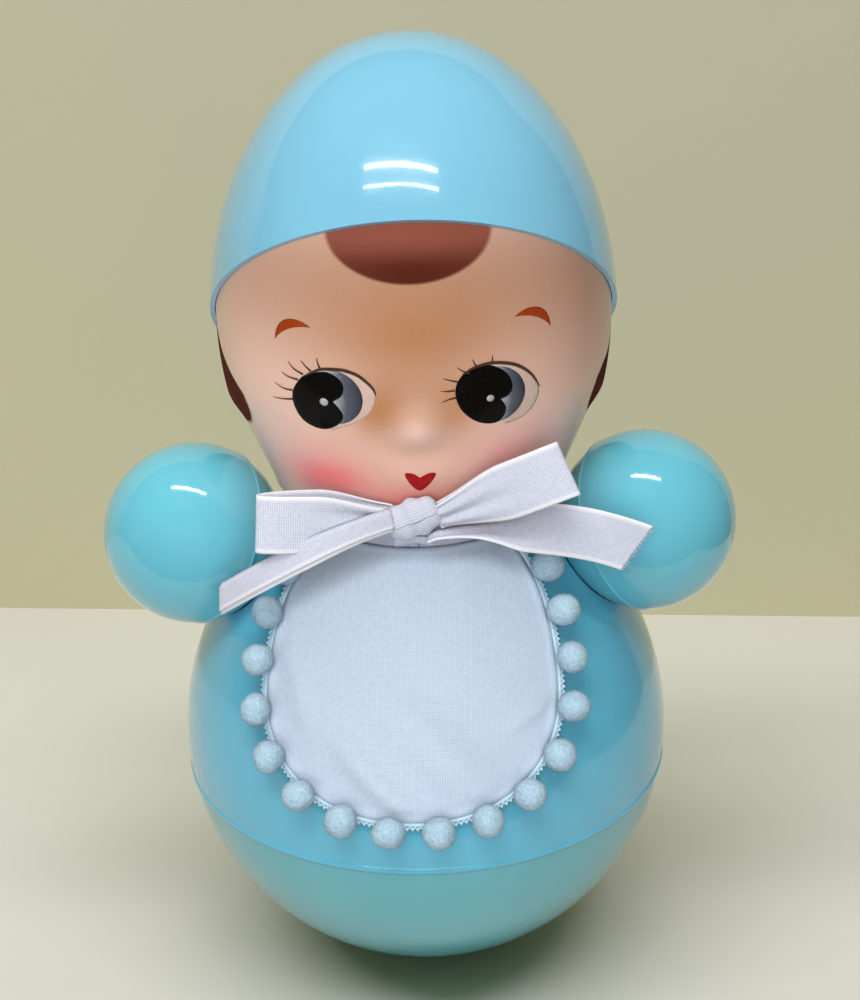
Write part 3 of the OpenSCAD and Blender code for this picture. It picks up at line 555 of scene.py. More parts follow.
def stroke(line, widths):  # outline of a painted stroke with a width at each point of its line
    line = [Vector(p) for p in line]
    left = []
    right = []
    for i, p in enumerate(line):
        way = heading(line, i).normalized()
        side = Vector((-way.y, way.x)) * widths[i] / 2
        left.append(p + side)
        right.append(p - side)
    return left + right[::-1]


def ellipse(cx, cd, a, b, count=48):
    return [(cx + a * cos(2 * pi * i / count), cd + b * sin(2 * pi * i / count))
            for i in range(count)]


def paintMaterial(name, low, high, rough, scale=900, shine=0.22):
    return mottled(name, low, high, rough, (scale, 3), (500, 3, 0.85, 1.2), IOR=1.5, Specular_IOR_Level=shine)


def irisMaterial():
    material, tree, shader = startMaterial("irisPaint", 0.2, IOR=1.5, Specular_IOR_Level=0.12)
    grain = noise(place(tree), 1800, 2)
    varied = join("ADD", number(tree, "shade"), spread(grain, -0.05, 0.05))
    tones = [(0.05, (0.34, 0.37, 0.43)), (0.4, (0.09, 0.102, 0.135)), (1.0, (0.016, 0.019, 0.027))]
    feed(shader, Base_Color=ramp(varied, tones))
    return material


whitePaint = paintMaterial("eyeWhite", (0.56, 0.42, 0.37), (0.61, 0.465, 0.415), 0.25)
irisPaint = irisMaterial()
pupilPaint = paintMaterial("pupilBlack", (0.003, 0.003, 0.003), (0.005, 0.0045, 0.0045), 0.18, 900, 0.06)
dotPaint = paintMaterial("eyeDot", (0.36, 0.36, 0.37), (0.46, 0.46, 0.48), 0.3)
lashPaint = paintMaterial("lashBrown", (0.05, 0.022, 0.013), (0.085, 0.038, 0.022), 0.35)
browPaint = paintMaterial("browBrown", (0.27, 0.036, 0.005), (0.35, 0.05, 0.008), 0.4, 700, 0.1)
lipPaint = paintMaterial("lipRed", (0.27, 0.005, 0.008), (0.40, 0.010, 0.013), 0.3, 900, 0.12)

eyes = dict(  # places on the face in mm, across and above the head's middle
    right=dict(
        pupil=[(-31.8, -8.4), (-31.0, -5.6), (-28.8, -2.5), (-26.1, -1.1), (-22.6, -0.4), (-20.1, -1.3),
               (-18.6, -2.8), (-18.2, -4.7), (-19.0, -6.7), (-21.0, -8.2), (-19.4, -10.3), (-18.7, -12.1),
               (-19.1, -13.8), (-20.9, -15.7), (-23.5, -17.0), (-26.4, -16.9), (-29.4, -15.3),
               (-31.3, -12.0)],
        notch=9,
        iris=(-21.3, -7.4, 7.7, 7.6),
        lid=[(-28.5, -2.4), (-26.1, -0.9), (-23.7, 0.2), (-20.5, 0.5), (-17.8, 0.4), (-14.6, -0.7),
             (-12.2, -2.7), (-10.8, -4.5), (-10.3, -6.2)],
        low=[(-10.5, -6.9), (-11.4, -10.0), (-13.3, -12.3), (-16.2, -14.4), (-19.0, -15.8),
             (-21.9, -17.2)],
        dot=(-23.3, -8.6, 1.1),
        lashes=[((-37.4, -10.4), (-34.8, -10.2), (-31.8, -9.5)),
                ((-36.5, -5.9), (-34.2, -6.9), (-31.7, -6.9)),
                ((-34.4, -2.5), (-32.6, -3.3), (-30.0, -3.6)),
                ((-32.5, 0.8), (-31.1, -0.8), (-28.6, -1.9)),
                ((-29.1, 1.7), (-28.0, 0.5), (-26.5, -0.7)),
                ((-24.9, 3.0), (-24.6, 1.5), (-24.0, 0.3))],
    ),
    left=dict(
        pupil=[(9.9, -6.5), (10.6, -2.8), (13.4, 0.2), (17.2, 1.0), (21.0, -0.4), (23.4, -2.9),
               (24.2, -5.9), (23.3, -8.0), (21.2, -8.9), (22.5, -11.4), (22.2, -13.8), (20.6, -15.6),
               (17.7, -15.7), (14.3, -14.1), (11.2, -10.7)],
        notch=8,
        iris=(19.8, -7.8, 7.8, 7.9),
        lid=[(11.7, -1.1), (14.4, 0.4), (18.6, 1.2), (23.4, 0.4), (26.9, -1.4), (29.8, -4.4),
             (31.6, -7.9)],
        low=[(31.6, -9.5), (30.2, -13.1), (27.0, -15.9), (22.7, -16.8)],
        dot=(18.5, -8.2, 0.95),
        lashes=[((6.4, -8.5), (8.1, -7.8), (9.9, -7.3)),
                ((6.2, -5.4), (7.9, -5.5), (9.7, -5.3)),
                ((6.9, -1.9), (8.7, -2.5), (10.6, -3.0)),
                ((10.4, 0.9), (11.8, -0.2), (13.4, -0.9)),
                ((14.3, 2.7), (14.7, 1.6), (15.3, 0.6)),
                ((19.3, 3.0), (19.3, 2.0), (19.1, 1.1))],
    ),
)
lashWidth = 0.55
lidWidth = 0.75


def pupilOutline(eye):  # rounded all round except at the notch, which stays sharp
    order = eye["pupil"][eye["notch"]:] + eye["pupil"][:eye["notch"] + 1]
    return throughPoints(order, 5)[:-1]


def buildEye(side):
    eye = eyes[side]
    points = []
    faces = []
    shades = []
    kinds = []

    def add(outline, layer, kind, thick=film["thick"]):
        newPoints, newFaces, places = filmParts(outline, film["lift"] + film["layer"] * layer, thick)
        addTo(points, faces, newPoints, newFaces)
        kinds.extend([kind] * len(newFaces))
        cx, cd, a, b = eye["iris"]
        notch = eye["pupil"][eye["notch"]]
        for x, d in places:
            across = (x - notch[0]) / (cx + a - notch[0])
            shades.append(min(1, max(0, 0.85 * across + 0.02 * abs(d - notch[1]))))

    white = throughPoints(eye["lid"], 4)[:-1] + throughPoints(eye["low"], 4)
    add(white, 0, 0, film["whiteThick"])
    add(ellipse(*eye["iris"]), 1, 1)
    add(pupilOutline(eye), 2, 2)
    x, d, r = eye["dot"]
    add(ellipse(x, d, r, r, 20), 3, 3)
    lid = throughPoints(eye["lid"], 4)
    last = len(lid) - 1
    widths = [0.12 + lidWidth * sin(pi * min(1, i / last * 1.02)) ** 0.6 for i in range(last + 1)]
    add(stroke(lid, widths), 3, 4)
    for lash in eye["lashes"]:
        line = throughPoints(lash, 5)
        end = len(line) - 1
        add(stroke(line, [mix(0.1, lashWidth, i / end) for i in range(end + 1)]), 3, 4)
    paints = [whitePaint, irisPaint, pupilPaint, dotPaint, lashPaint]
    piece = makePiece(side + "Eye", "head", points, faces, paints, [side + "_eye_print"])
    for polygon, kind in zip(piece.data.polygons, kinds):
        polygon.material_index = kind
    giveNumber(piece, "shade", shades)


for side in eyes:
    buildEye(side)

brows = dict(
    top=[(-26.3, 10.5), (-29.5, 13.0), (-35.5, 13.2), (-35.9, 6.0)],
    low=[(-35.9, 6.0), (-34.0, 9.0), (-30.5, 10.6), (-26.3, 10.5)],
    otherShift=(-1.0, 1.45), steps=14,
)


def buildPaint(name, node, outlines, material, thick):
    points = []
    faces = []
    for outline in outlines:
        newPoints, newFaces, _ = filmParts(outline, film["paintLift"], thick)
        addTo(points, faces, newPoints, newFaces)
    makePiece(name, "head", points, faces, material, [node])


browLine = []
for edge in ("top", "low"):
    browLine += curve([Vector(p) for p in brows[edge]], brows["steps"])[:-1]
otherLine = [(-p[0] + brows["otherShift"][0], p[1] + brows["otherShift"][1]) for p in reversed(browLine)]
buildPaint("brows", "brow_prints", [browLine, otherLine], browPaint, film["browThick"])

lips = [(-3.6, -29.8), (-1.6, -29.6), (0.3, -30.9), (2.6, -29.6), (4.4, -30.0), (2.9, -32.8),
        (0.2, -35.1), (-2.2, -33.0)]
lipLine = throughPoints(lips[2:] + lips[:3], 6)[:-1]
buildPaint("lips", "lip_print", [lipLine], lipPaint, film["lipThick"])
print("stage: painted features built")

# bib, its braid and pom-poms, laid on the body's outside

body = dict(z=72.0573, arcR=78, arcC=-5.5, neckZ=140.99)
bib = dict(
    length=76, halfW=42.5, widest=45, turn=radians(4), rise=60, square=2.2,
    neckGap=1.5, topRise=1.5, gap=0.4, thick=0.8, middle=38, rings=52, trimPoints=150,
    topPoints=50, ringPower=1.6, topFade=6, foldFade=6, hemLift=0.45, hemIn=1.6,
    hemHalf=1.2, edgeDip=0.35, edgeHalf=0.7, edgeRound=0.5, leastGap=0.15,
)
braid = dict(
    out=0.8, lift=0.75, cordR=0.54, pitch=1.45, bob=0.25, sides=7, steps=1600,
    cords=((-0.5, 0), (0.4, 0.42)),  # offset and sway: a straight cord beside a zigzag one
)
pompom = dict(
    r=5, coreShare=0.87, count=18, out=0.1, slip=1, lift=6.9, spread=1.025, seed=7,
    rings=30, sides=44, lumps=34, lumpHigh=(-0.06, 0.04), lumpSharp=(6, 26), grain=0.03,
    squash=((0.92, 1.05), (0.92, 1.02), (0.9, 1.03)), fibres=2400, fibreHalf=0.05,
    fibreLean=0.5, fibreLong=(0.35, 0.95), fibreRootShare=0.97,
)
bibTopTurn = asin((body["neckZ"] - body["z"]) / body["arcR"])
bibFirstTurn = -asin(bib["widest"] / bib["rise"])


def onBody(across, s, lift):
    a = bibTopTurn - (s + bib["neckGap"]) / body["arcR"]
    r = body["arcC"] + (body["arcR"] + lift) * cos(a)
    turn = across / (body["arcC"] + body["arcR"] * cos(a)) - bib["turn"]
    return around(turn, r, body["z"] + (body["arcR"] + lift) * sin(a))


def bibEdge(turn, out):
    c = cos(turn)
    s = sin(turn)
    w = bib["halfW"] + out
    if s < 0:
        return Vector((-w * c, bib["widest"] + (bib["rise"] + out) * s))
    power = 2 / bib["square"]
    return Vector((-w * copysign(abs(c) ** power, c),
                   bib["widest"] + (bib["length"] - bib["widest"] + out) * s ** power))


def trimTurn(share):
    return bibFirstTurn + (pi - 2 * bibFirstTurn) * share


bibFolds = [  # across, s of the fold's middle, turn in degrees, half width, half length, height
    (-7, 66, 43, 4.5, 18, 3.2),
    (8, 57, 43, 7, 22, 2.8),
    (-31, 44, 70, 4, 16, 1.0),
    (33, 50, -20, 2.2, 8, 1.3),
    (9, 30, 82, 12, 26, 0.55),
    (-6, 8, 88, 4, 12, 0.45),
    (14, 7, 95, 4, 12, 0.45),
]


def bibLift(across, s, inset):
    lift = 0
    for cx, cs, turn, half, long, height in bibFolds:
        t = radians(turn)
        x = across - cx
        y = s - cs
        offLine = y * cos(t) - x * sin(t)
        onLine = x * cos(t) + y * sin(t)
        lift += height * bump(offLine, onLine, half, long)
    hem = bib["hemLift"] * bump(inset - bib["hemIn"], 0, bib["hemHalf"], 1)
    return lift * smooth(inset / bib["foldFade"]) + hem - bib["edgeDip"] * bump(inset, 0, bib["edgeHalf"], 1)


bibCotton = clothMaterial("bibCotton", (0.33, 0.41, 0.52), (0.46, 0.55, 0.67), 0.00062, 0.00058, 0.00012, 0.8,
                          Sheen_Weight=0.25, Sheen_Roughness=0.4)


def buildBib():
    edge = [bibEdge(trimTurn(i / bib["trimPoints"]), 0) for i in range(bib["trimPoints"] + 1)]
    edge = [Vector((p.x, p.y - bib["topRise"] * smooth(1 - p.y / bib["topFade"]))) for p in edge]
    first = edge[0]
    last = edge[-1]
    edge += [mix(last, first, i / bib["topPoints"]) for i in range(1, bib["topPoints"])]
    n = len(edge)
    middle = Vector((0, bib["middle"]))
    tops = []
    lows = []
    flat = []
    for k in range(bib["rings"] + 1):
        share = 1 - (1 - k / bib["rings"]) ** bib["ringPower"]
        for p in edge if k else [middle]:
            q = mix(middle, p, share)
            inset = (1 - share) * (p - middle).length if k else bib["middle"]
            lift = bib["gap"] + bibLift(q.x, q.y, inset)
            corner = max(0, 1 - inset / bib["edgeRound"])
            rounded = bib["thick"] / 2 * (1 - sqrt(max(0, 1 - corner ** 2)))
            tops.append(onBody(q.x, q.y, lift + bib["thick"] - rounded))
            lows.append(onBody(q.x, q.y, max(bib["leastGap"], lift + rounded)))
            flat.append((q.x, q.y))
    m = len(tops)
    faces = []
    for i in range(n):
        j = (i + 1) % n
        faces.append((0, 1 + i, 1 + j))
        faces.append((m, m + 1 + j, m + 1 + i))
        for k in range(bib["rings"] - 1):
            a = 1 + k * n
            b = a + n
            faces.append((a + i, b + i, b + j, a + j))
            faces.append((m + a + i, m + a + j, m + b + j, m + b + i))
        a = 1 + (bib["rings"] - 1) * n
        faces.append((a + i, m + a + i, m + a + j, a + j))
    piece = makePiece("bib", "torso", tops + lows, faces, bibCotton, ["bib_cloth"])
    giveFlat(piece, flat * 2)


braidYarn = mottled("braidYarn", (0.36, 0.55, 0.69), (0.54, 0.73, 0.86), 0.8, (2400, 4),
                    raised=(2400, 4, 0.0001), Sheen_Weight=0.3)
pompomYarn = mottled("pompomYarn", (0.31, 0.48, 0.61), (0.43, 0.60, 0.73), 0.95, (1100, 4),
                     raised=(1100, 4, 0.0006), Sheen_Weight=0.25, Sheen_Roughness=0.5)


def buildBraid():
    steps = braid["steps"]
    lift = bib["gap"] + braid["lift"]
    path = []
    ups = []
    for i in range(steps + 1):
        edge = bibEdge(trimTurn(i / steps), braid["out"])
        path.append(onBody(edge.x, edge.y, lift))
        ups.append((onBody(edge.x, edge.y, lift + 1) - path[i]).normalized())
    runs = runsAlong(path)
    points = []
    faces = []
    sides = braid["sides"]
    cordFaces = flipped(ringFaces(steps + 1, sides, False))
    cordFaces += [tuple(reversed(range(sides))), tuple(steps * sides + j for j in range(sides))]
    for offset, sway in braid["cords"]:
        cord = []
        for i, up in enumerate(ups):
            side = heading(path, i).cross(up).normalized()
            a = 2 * pi * runs[i] / braid["pitch"]
            middle = path[i] + side * (offset + sway * sin(a)) + up * braid["bob"] * sway * cos(a)
            for j in range(sides):
                b = 2 * pi * j / sides
                cord.append(middle + (side * cos(b) + up * sin(b)) * braid["cordR"])
        addTo(points, faces, cord, cordFaces)
    makePiece("braid", "torso", points, faces, braidYarn, ["bib_braid"])


def pompomPlaces():
    count = 400
    line = []
    for i in range(count + 1):
        edge = bibEdge(trimTurn(i / count), pompom["out"])
        line.append(onBody(edge.x + pompom["slip"], edge.y, pompom["lift"]))
    runs = runsAlong(line)
    out = []
    for k in range(pompom["count"]):
        target = runs[-1] * (0.5 + (k + 0.5 - pompom["count"] / 2) * pompom["spread"] / pompom["count"])
        i = max(j for j in range(count) if runs[j] <= target)
        out.append(mix(line[i], line[i + 1], (target - runs[i]) / (runs[i + 1] - runs[i])))
    return out


def spiralWays(count):  # evenly spread directions on a ball
    golden = pi * (3 - sqrt(5))
    for i in range(count):
        z = 1 - 2 * (i + 0.5) / count
        r = sqrt(1 - z * z)
        yield Vector((r * cos(golden * i), r * sin(golden * i), z))


def lumpyR(way, lumps):
    swell = sum(height * exp(-sharp * (1 - way.dot(axis))) for axis, height, sharp in lumps)
    return pompom["r"] * pompom["coreShare"] * (1 + swell)


def buildPompoms():
    rings = pompom["rings"]
    sides = pompom["sides"]
    chance = random.Random(pompom["seed"])
    points = []
    faces = []
    ballFaces = ringFaces(rings + 1, sides, False)
    for spot in pompomPlaces():
        squash = Vector([chance.uniform(*ends) for ends in pompom["squash"]])
        lumps = []
        for k in range(pompom["lumps"]):
            axis = anyWay(chance, 1).normalized()
            lumps.append((axis, chance.uniform(*pompom["lumpHigh"]), chance.uniform(*pompom["lumpSharp"])))
        ball = []
        for i in range(rings + 1):
            a = pi * i / rings
            for j in range(sides):
                b = 2 * pi * j / sides
                way = Vector((sin(a) * cos(b), sin(a) * sin(b), cos(a)))
                grain = 1 + chance.uniform(-pompom["grain"], pompom["grain"]) * sin(a)
                ball.append(spot + way * squash * lumpyR(way, lumps) * grain)
        addTo(points, faces, ball, ballFaces)
        for way in spiralWays(pompom["fibres"]):  # short fibres
            lean = anyWay(chance, 1) * pompom["fibreLean"]
            root = spot + way * squash * lumpyR(way, lumps) * pompom["fibreRootShare"]
            tip = root + (way + lean).normalized() * chance.uniform(*pompom["fibreLong"])
            side = way.cross(lean).normalized() * pompom["fibreHalf"]
            up = way.cross(side)
            fibre = [root + side, root - side * 0.5 + up, root - side * 0.5 - up, tip]
            addTo(points, faces, fibre, ((0, 1, 3), (1, 2, 3), (2, 0, 3)))
    piece = makePiece("pompomBalls", "torso", points, faces, pompomYarn, ["pompoms"])


buildBib()
buildBraid()
buildPompoms()
print("stage: bib and trim built")

# ribbon: bow, knot and the band round the neck

ribbon = dict(
    width=15, thick=0.4, gather=0.55, across=20, gap=0.4, seat=0.5, edgeFrom=0.84,
    edgeSoft=0.1, tailSteps=90,
)
knot = dict(
    w=12, d=6, h=11, cap=0.25, endShare=0.5, tuck=1.1, tilt=radians(20),
    sink=0.1, crease=0.42, creases=8.5, sway=1.1, swayTurn=0.6, run=28, steps=56,
)
knotC = Vector((-1.8, -49.2316, 157.99))
ribbonSatin = clothMaterial("ribbonSatin", (0.46, 0.495, 0.64), (0.69, 0.725, 0.86), 0.00045, 0.0006, 0.00014,
                            0.42, (0.86, 0.88, 0.96), Sheen_Weight=0.2, Sheen_Roughness=0.3)


def knotSide(y, z):
    size = hypot(2 * y / knot["d"], 2 * z / knot["h"])
    v = min(1, max(0, (size - knot["cap"]) / (1 - knot["cap"])))
    return knot["w"] / 2 * sqrt(1 - v * v)


def rootReach(side, start, half):
    ends = [k / 4 for k in range(-4, 5)]
    return ribbon["gap"] + ribbon["seat"] + max(
        knotSide(start[0] + k * half.y, start[1] + k * half.z) - side * k * half.x for k in ends)


frayed = dict(
    count=44, spanShare=0.97, inset=0.4, fan=0.35, stray=0.15, long=(0.8, 3.0), half=0.12,
)


def buildFray(name, end, half, along, seed):  # loose threads at a cut end
    chance = random.Random(seed)
    count = frayed["count"]
    points = []
    faces = []
    for k in range(count):
        root = end + half * (2 * k / (count - 1) - 1) * frayed["spanShare"] - along * frayed["inset"]
        way = along + half.normalized() * chance.gauss(0, frayed["fan"]) + anyWay(chance, frayed["stray"])
        tip = root + way.normalized() * chance.uniform(*frayed["long"])
        side = half.normalized() * frayed["half"]
        up = along.cross(side).normalized() * frayed["half"]
        thread = [root + side, root - side + up, root - side - up, tip]
        addTo(points, faces, thread, ((0, 1, 3), (1, 2, 3), (2, 0, 3), (0, 2, 1)))
    return makePiece(name, "torso", points, faces, ribbonSatin)


def sheetFaces(rows, count, closed=False):  # upper and lower side and edges of rows of points
    w = count + 1
    m = rows * w
    faces = []
    for i in range(rows if closed else rows - 1):
        a = i * w
        b = (i + 1) % rows * w
        for j in range(count):
            faces.append((a + j, a + j + 1, b + j + 1, b + j))
            faces.append((m + a + j, m + b + j, m + b + j + 1, m + a + j + 1))
        faces.append((a, b, m + b, m + a))
        faces.append((a + count, m + a + count, m + b + count, b + count))
    if not closed:
        for j in range(count):
            faces.append((j, m + j, m + j + 1, j + 1))
            a = m - w + j
            faces.append((a, a + 1, m + a + 1, m + a))
    return faces


def buildStrip(name, node, middles, halves, section, flatWidth, endCut=None, fray=None, edged=True):
    # section(u, t) gives the share across from -1 to 1 and the height off the strip's face in mm
    last = len(middles) - 1
    count = ribbon["across"]
    tops = []
    lows = []
    flat = []
    runs = runsAlong(middles)
    for i in range(last + 1):
        along = heading(middles, i).normalized()
        up = along.cross(halves[i]).normalized()
        row = []
        for j in range(count + 1):
            share, height = section(j / count, i / last)
            shift = endCut(j / count, i / last) if endCut else 0
            row.append(middles[i] + halves[i] * share + up * height + along * shift)
        for j in range(count + 1):
            out = along.cross(heading(row, j)).normalized() * ribbon["thick"] / 2
            tops.append(row[j] + out)
            lows.append(row[j] - out)
            flat.append((flatWidth * (j / count - 0.5), runs[i]))
    faces = sheetFaces(last + 1, count)
    piece = makePiece(name, "torso", tops + lows, faces, ribbonSatin, [node])
    giveFlat(piece, flat * 2)
    shares = [abs(2 * j / count - 1) for j in range(count + 1)]
    edges = [smooth((share - ribbon["edgeFrom"]) / ribbon["edgeSoft"]) if edged else 0 for share in shares]
    giveNumber(piece, "edge", edges * (last + 1) * 2)
    threads = []
    if fray is not None:
        threads = [buildFray(name + "Fray", middles[-1], halves[-1], along, fray)]


loops = dict(
    left=dict(side=1, reach=36, up=radians(24), shear=-3),
    right=dict(side=-1, reach=34, up=radians(3), shear=-1),
)
loopForm = dict(
    depth=6.5, back=0.8, forward=5.5, lean=5, leanOut=25, gatheredTo=0.75, rootTo=0.05,
    pleat=0.7, pleats=2.3, pleatStart=0.2, rootPinch=0.22, rootTuck=1.4, steps=110,
)


def loopWay(side, up, out):
    lean = radians(loopForm["lean"] - loopForm["leanOut"] * out)
    return Vector((-side * sin(up) * cos(lean), -sin(lean), cos(up) * cos(lean)))


def outShare(t):  # 0 at both roots of a loop, 1 at its far end
    return (1 - cos(2 * pi * t)) / 2


def pleatHeight(form, u, out):  # pleats that open out away from the root
    wave = sin(2 * pi * (form["pleats"] * u + form["pleatStart"])) * smooth(out / form["rootTo"])
    return form["pleat"] * (1 - smooth(out / form["gatheredTo"])) * wave


def loopSection(u, t):
    return 2 * u - 1, pleatHeight(loopForm, u, outShare(t))


def buildLoop(name, loop):
    side = loop["side"]
    up = loop["up"]
    back = loopForm["back"]
    outWay = Vector((side * cos(up), 0, sin(up)))
    rootHalf = loopWay(side, up, 0) * ribbon["width"] / 2 * ribbon["gather"]
    rootX = max(rootReach(side, (back + end * knot["d"] / 4, 0), rootHalf) for end in (-1, 1))
    root = knotC + Vector((side * rootX, back, 0))
    steps = loopForm["steps"]
    middles = []
    halves = []
    for i in range(steps + 1):
        t = i / steps
        out = outShare(t)
        wide = mix(ribbon["gather"], 1, smooth(out / ribbon["gather"]))
        wide *= 1 - loopForm["rootPinch"] * (1 - out) ** 6
        tuck = Vector((side * loopForm["rootTuck"] * (1 - out) ** 4, 0, 0))
        way = loopWay(side, up, out)
        swing = loopForm["depth"] / 2 * sin(2 * pi * t) * sqrt(out)
        swing += knot["d"] / 4 * cos(pi * t) - loopForm["forward"] * out
        middle = root + outWay * loop["reach"] * out + Vector((0, swing, 0)) - tuck
        middles.append(middle + way * loop["shear"] * cos(pi * t) * out)
        halves.append(way * ribbon["width"] / 2 * wide)
    buildStrip(name + "Loop", name + "_bow_loop", middles, halves, loopSection, ribbon["width"])


hung = dict(
    gatheredTo=0.55, rootTo=0.05, pleat=0.6, pleats=2.2, pleatStart=0.1, wave=0.35,
    waves=5,
)
folded = dict(
    frontShare=0.55, lift=0.25, backWidth=1.7, drop=0.75, turnTo=0.15, slant=3.2,
    slantFrom=0.6,
)


def openSection(u, t):  # gathers near the knot, then lies open
    wave = hung["wave"] * sin(pi * u) * sin(hung["waves"] * t)
    return 2 * u - 1, pleatHeight(hung, u, t) + wave


def foldedSection(u, t):  # folded lengthwise, the narrower half behind
    front = folded["frontShare"]
    if u < front:
        return 2 * u / front - 1, folded["lift"]
    back = (u - front) / (1 - front)
    return 1 - folded["backWidth"] * back, folded["lift"] - folded["drop"] * smooth(back / folded["turnTo"])


def slantCut(u, t):  # the end is cut slantwise
    share = foldedSection(u, t)[0]
    return -folded["slant"] * share * smooth((t - folded["slantFrom"]) / (1 - folded["slantFrom"]))


tails = dict(
    left=dict(
        side=1, reach=59.5, drop=11.5, back=2, lead=-3, width=15, gather=0.55,
        rootShares=(0, -0.45), fallShares=(-0.25, -0.15), first=(0.1, 0.95, 0.1),
        last=(0.55, 0, 0.83), square=False, section=openSection, cut=None,
        held="hung", fray=3,
    ),
    right=dict(
        side=-1, reach=52.5, drop=23, back=2, lead=8, width=7.4, gather=0.85,
        rootShares=(-0.37, 0.05), fallShares=(0.05, 0.42), first=(0, 0.25, 0.95),
        last=(-0.46, 0.32, 0.81), square=True, section=foldedSection, cut=slantCut,
        held="folded", fray=None,
    ),
)


def buildTail(name, tail):
    side = tail["side"]
    first = Vector(tail["first"])
    start = (knot["d"] * tail["rootShares"][0], knot["h"] * tail["rootShares"][1])
    rootHalf = first.normalized() * tail["width"] / 2 * ribbon["gather"]
    begin = knotC + Vector((side * rootReach(side, start, rootHalf), start[0], start[1]))
    end = knotC + Vector((side * tail["reach"], tail["back"], -tail["drop"]))
    run = end - begin
    early, late = tail["fallShares"]
    route = [begin, begin + Vector((run.x / 3, -tail["lead"], run.z * early)),
             begin + Vector((run.x * 2 / 3, -tail["lead"], run.z * late)), end]
    steps = ribbon["tailSteps"]
    middles = curve(route, steps)
    halves = []
    for i in range(steps + 1):
        t = smooth(i / steps)
        way = mix(first, Vector(tail["last"]), t).normalized()
        if tail["square"]:  # the ribbon's width stays square to its run
            along = heading(middles, i).normalized()
            way = (way - along * way.dot(along)).normalized()
        halves.append(way * tail["width"] / 2 * mix(tail["gather"], 1, smooth(t / ribbon["gather"])))
    buildStrip(name + "Tail", name + "_bow_tail", middles, halves, tail["section"], ribbon["width"],
               tail["cut"], tail["fray"])


for side, loop in loops.items():
    buildLoop(side, loop)
for side, tail in tails.items():
    buildTail(side, tail)


def buildKnot():
    steps = knot["steps"]
    count = ribbon["across"]
    tops = []
    lows = []
    flat = []
    cosTilt = cos(knot["tilt"])  # the winding slants
    sinTilt = sin(knot["tilt"])
    for i in range(steps):
        a = 2 * pi * i / steps
        sway = knot["sway"] * sin(a + knot["swayTurn"])
        for j in range(count + 1):
            v = 2 * j / count - 1
            size = mix(knot["endShare"], 1, sqrt(max(0, 1 - v * v)))
            top = knot["crease"] * sin(knot["creases"] * v + sway) * (1 - v * v) - knot["sink"]
            for out, group in ((top, tops), (top - ribbon["thick"], lows)):
                y = -(size * knot["d"] / 2 + out) * cos(a)
                z = (size * knot["h"] / 2 + out) * sin(a)
                x = v * (knot["w"] / 2 + knot["tuck"])
                group.append(knotC + Vector((x * cosTilt - z * sinTilt, y, z * cosTilt + x * sinTilt)))
            flat.append((v * ribbon["width"] / 2, a / (2 * pi) * knot["run"]))
    faces = flipped(sheetFaces(steps, count, True))
    piece = makePiece("knot", "torso", tops + lows, faces, ribbonSatin, ["bow_knot"])
    giveFlat(piece, flat * 2)


band = dict(low=141.39, high=148.59, r=30.5, ripple=0.06, ripples=23, steps=180)
bandMid = mix(band["low"], band["high"], 0.5)
bandLayers = [  # radius and height round the folded ribbon's section
    (30.9, band["low"] + 0.3), (31.05, bandMid), (30.9, band["high"]), (30.5, band["high"]), (30.65, bandMid),
    (30.5, band["low"] + 0.6), (30.3, band["low"] + 0.6), (30.25, bandMid), (30.3, band["high"]),
    (29.95, band["high"]), (29.95, bandMid), (30.0, band["low"]), (30.5, band["low"] - 0.05),
]


def buildBand():  # the ribbon folded in half lengthwise and wound once round the neck
    steps = band["steps"]
    ring = throughPoints(bandLayers, 3, True)
    points = []
    flat = []
    for i in range(steps):
        a = 2 * pi * i / steps
        for k, (r, z) in enumerate(ring):
            points.append(around(a, r + band["ripple"] * sin(band["ripples"] * a + k / 5), z))
            flat.append((z - band["low"], a * band["r"]))
    faces = flipped(ringFaces(steps, len(ring)))
    piece = makePiece("neckBand", "torso", points, faces, ribbonSatin, ["ribbon_neck_band"])
    giveFlat(piece, flat)


crossing = dict(front=-31.9, lowZ=148.19, half=5, width=13, arch=0.9, knotGap=0.3, steps=30)


def crossingSection(u, t):
    return 2 * u - 1, -crossing["arch"] * (2 * u - 1) ** 2


def buildCrossing():  # the gathered ends that rise from the band to the knot
    front = crossing["front"]
    low = Vector((knotC.x, front, crossing["lowZ"]))
    high = knotC + Vector((0, knot["d"] / 4, -knot["h"] / 2 - crossing["knotGap"]))
    bend = Vector((knotC.x, (front + knotC.y) / 2, low.z))
    route = [low, bend, Vector((knotC.x, high.y, low.z)), high]
    steps = crossing["steps"]
    middles = curve(route, steps)
    halves = [Vector((crossing["half"], 0, 0))] * (steps + 1)
    buildStrip("crossing", "ribbon_crossing", middles, halves, crossingSection, crossing["width"],
               edged=False)


buildKnot()
buildBand()
buildCrossing()
print("stage: ribbon built")


# floor, wall, lights and camera

floorPaint = mottled("floorPaint", (0.59, 0.595, 0.365), (0.62, 0.625, 0.385), 0.5, (6, 4),
                     raised=(300, 3, 0.0001, 0.3))
wallPaint = mottled("wallPaint", (0.64, 0.625, 0.325), (0.67, 0.65, 0.34), 0.6, (5, 4),
                    raised=(300, 3, 0.0001, 0.3))


def buildSheet(name, corners, material):
    mesh = bpy.data.meshes.new(name)
    mesh.from_pydata([Vector(c) for c in corners], [], [(0, 1, 2, 3)])
    mesh.materials.append(material)
    piece = addObject(name, mesh)
    return piece


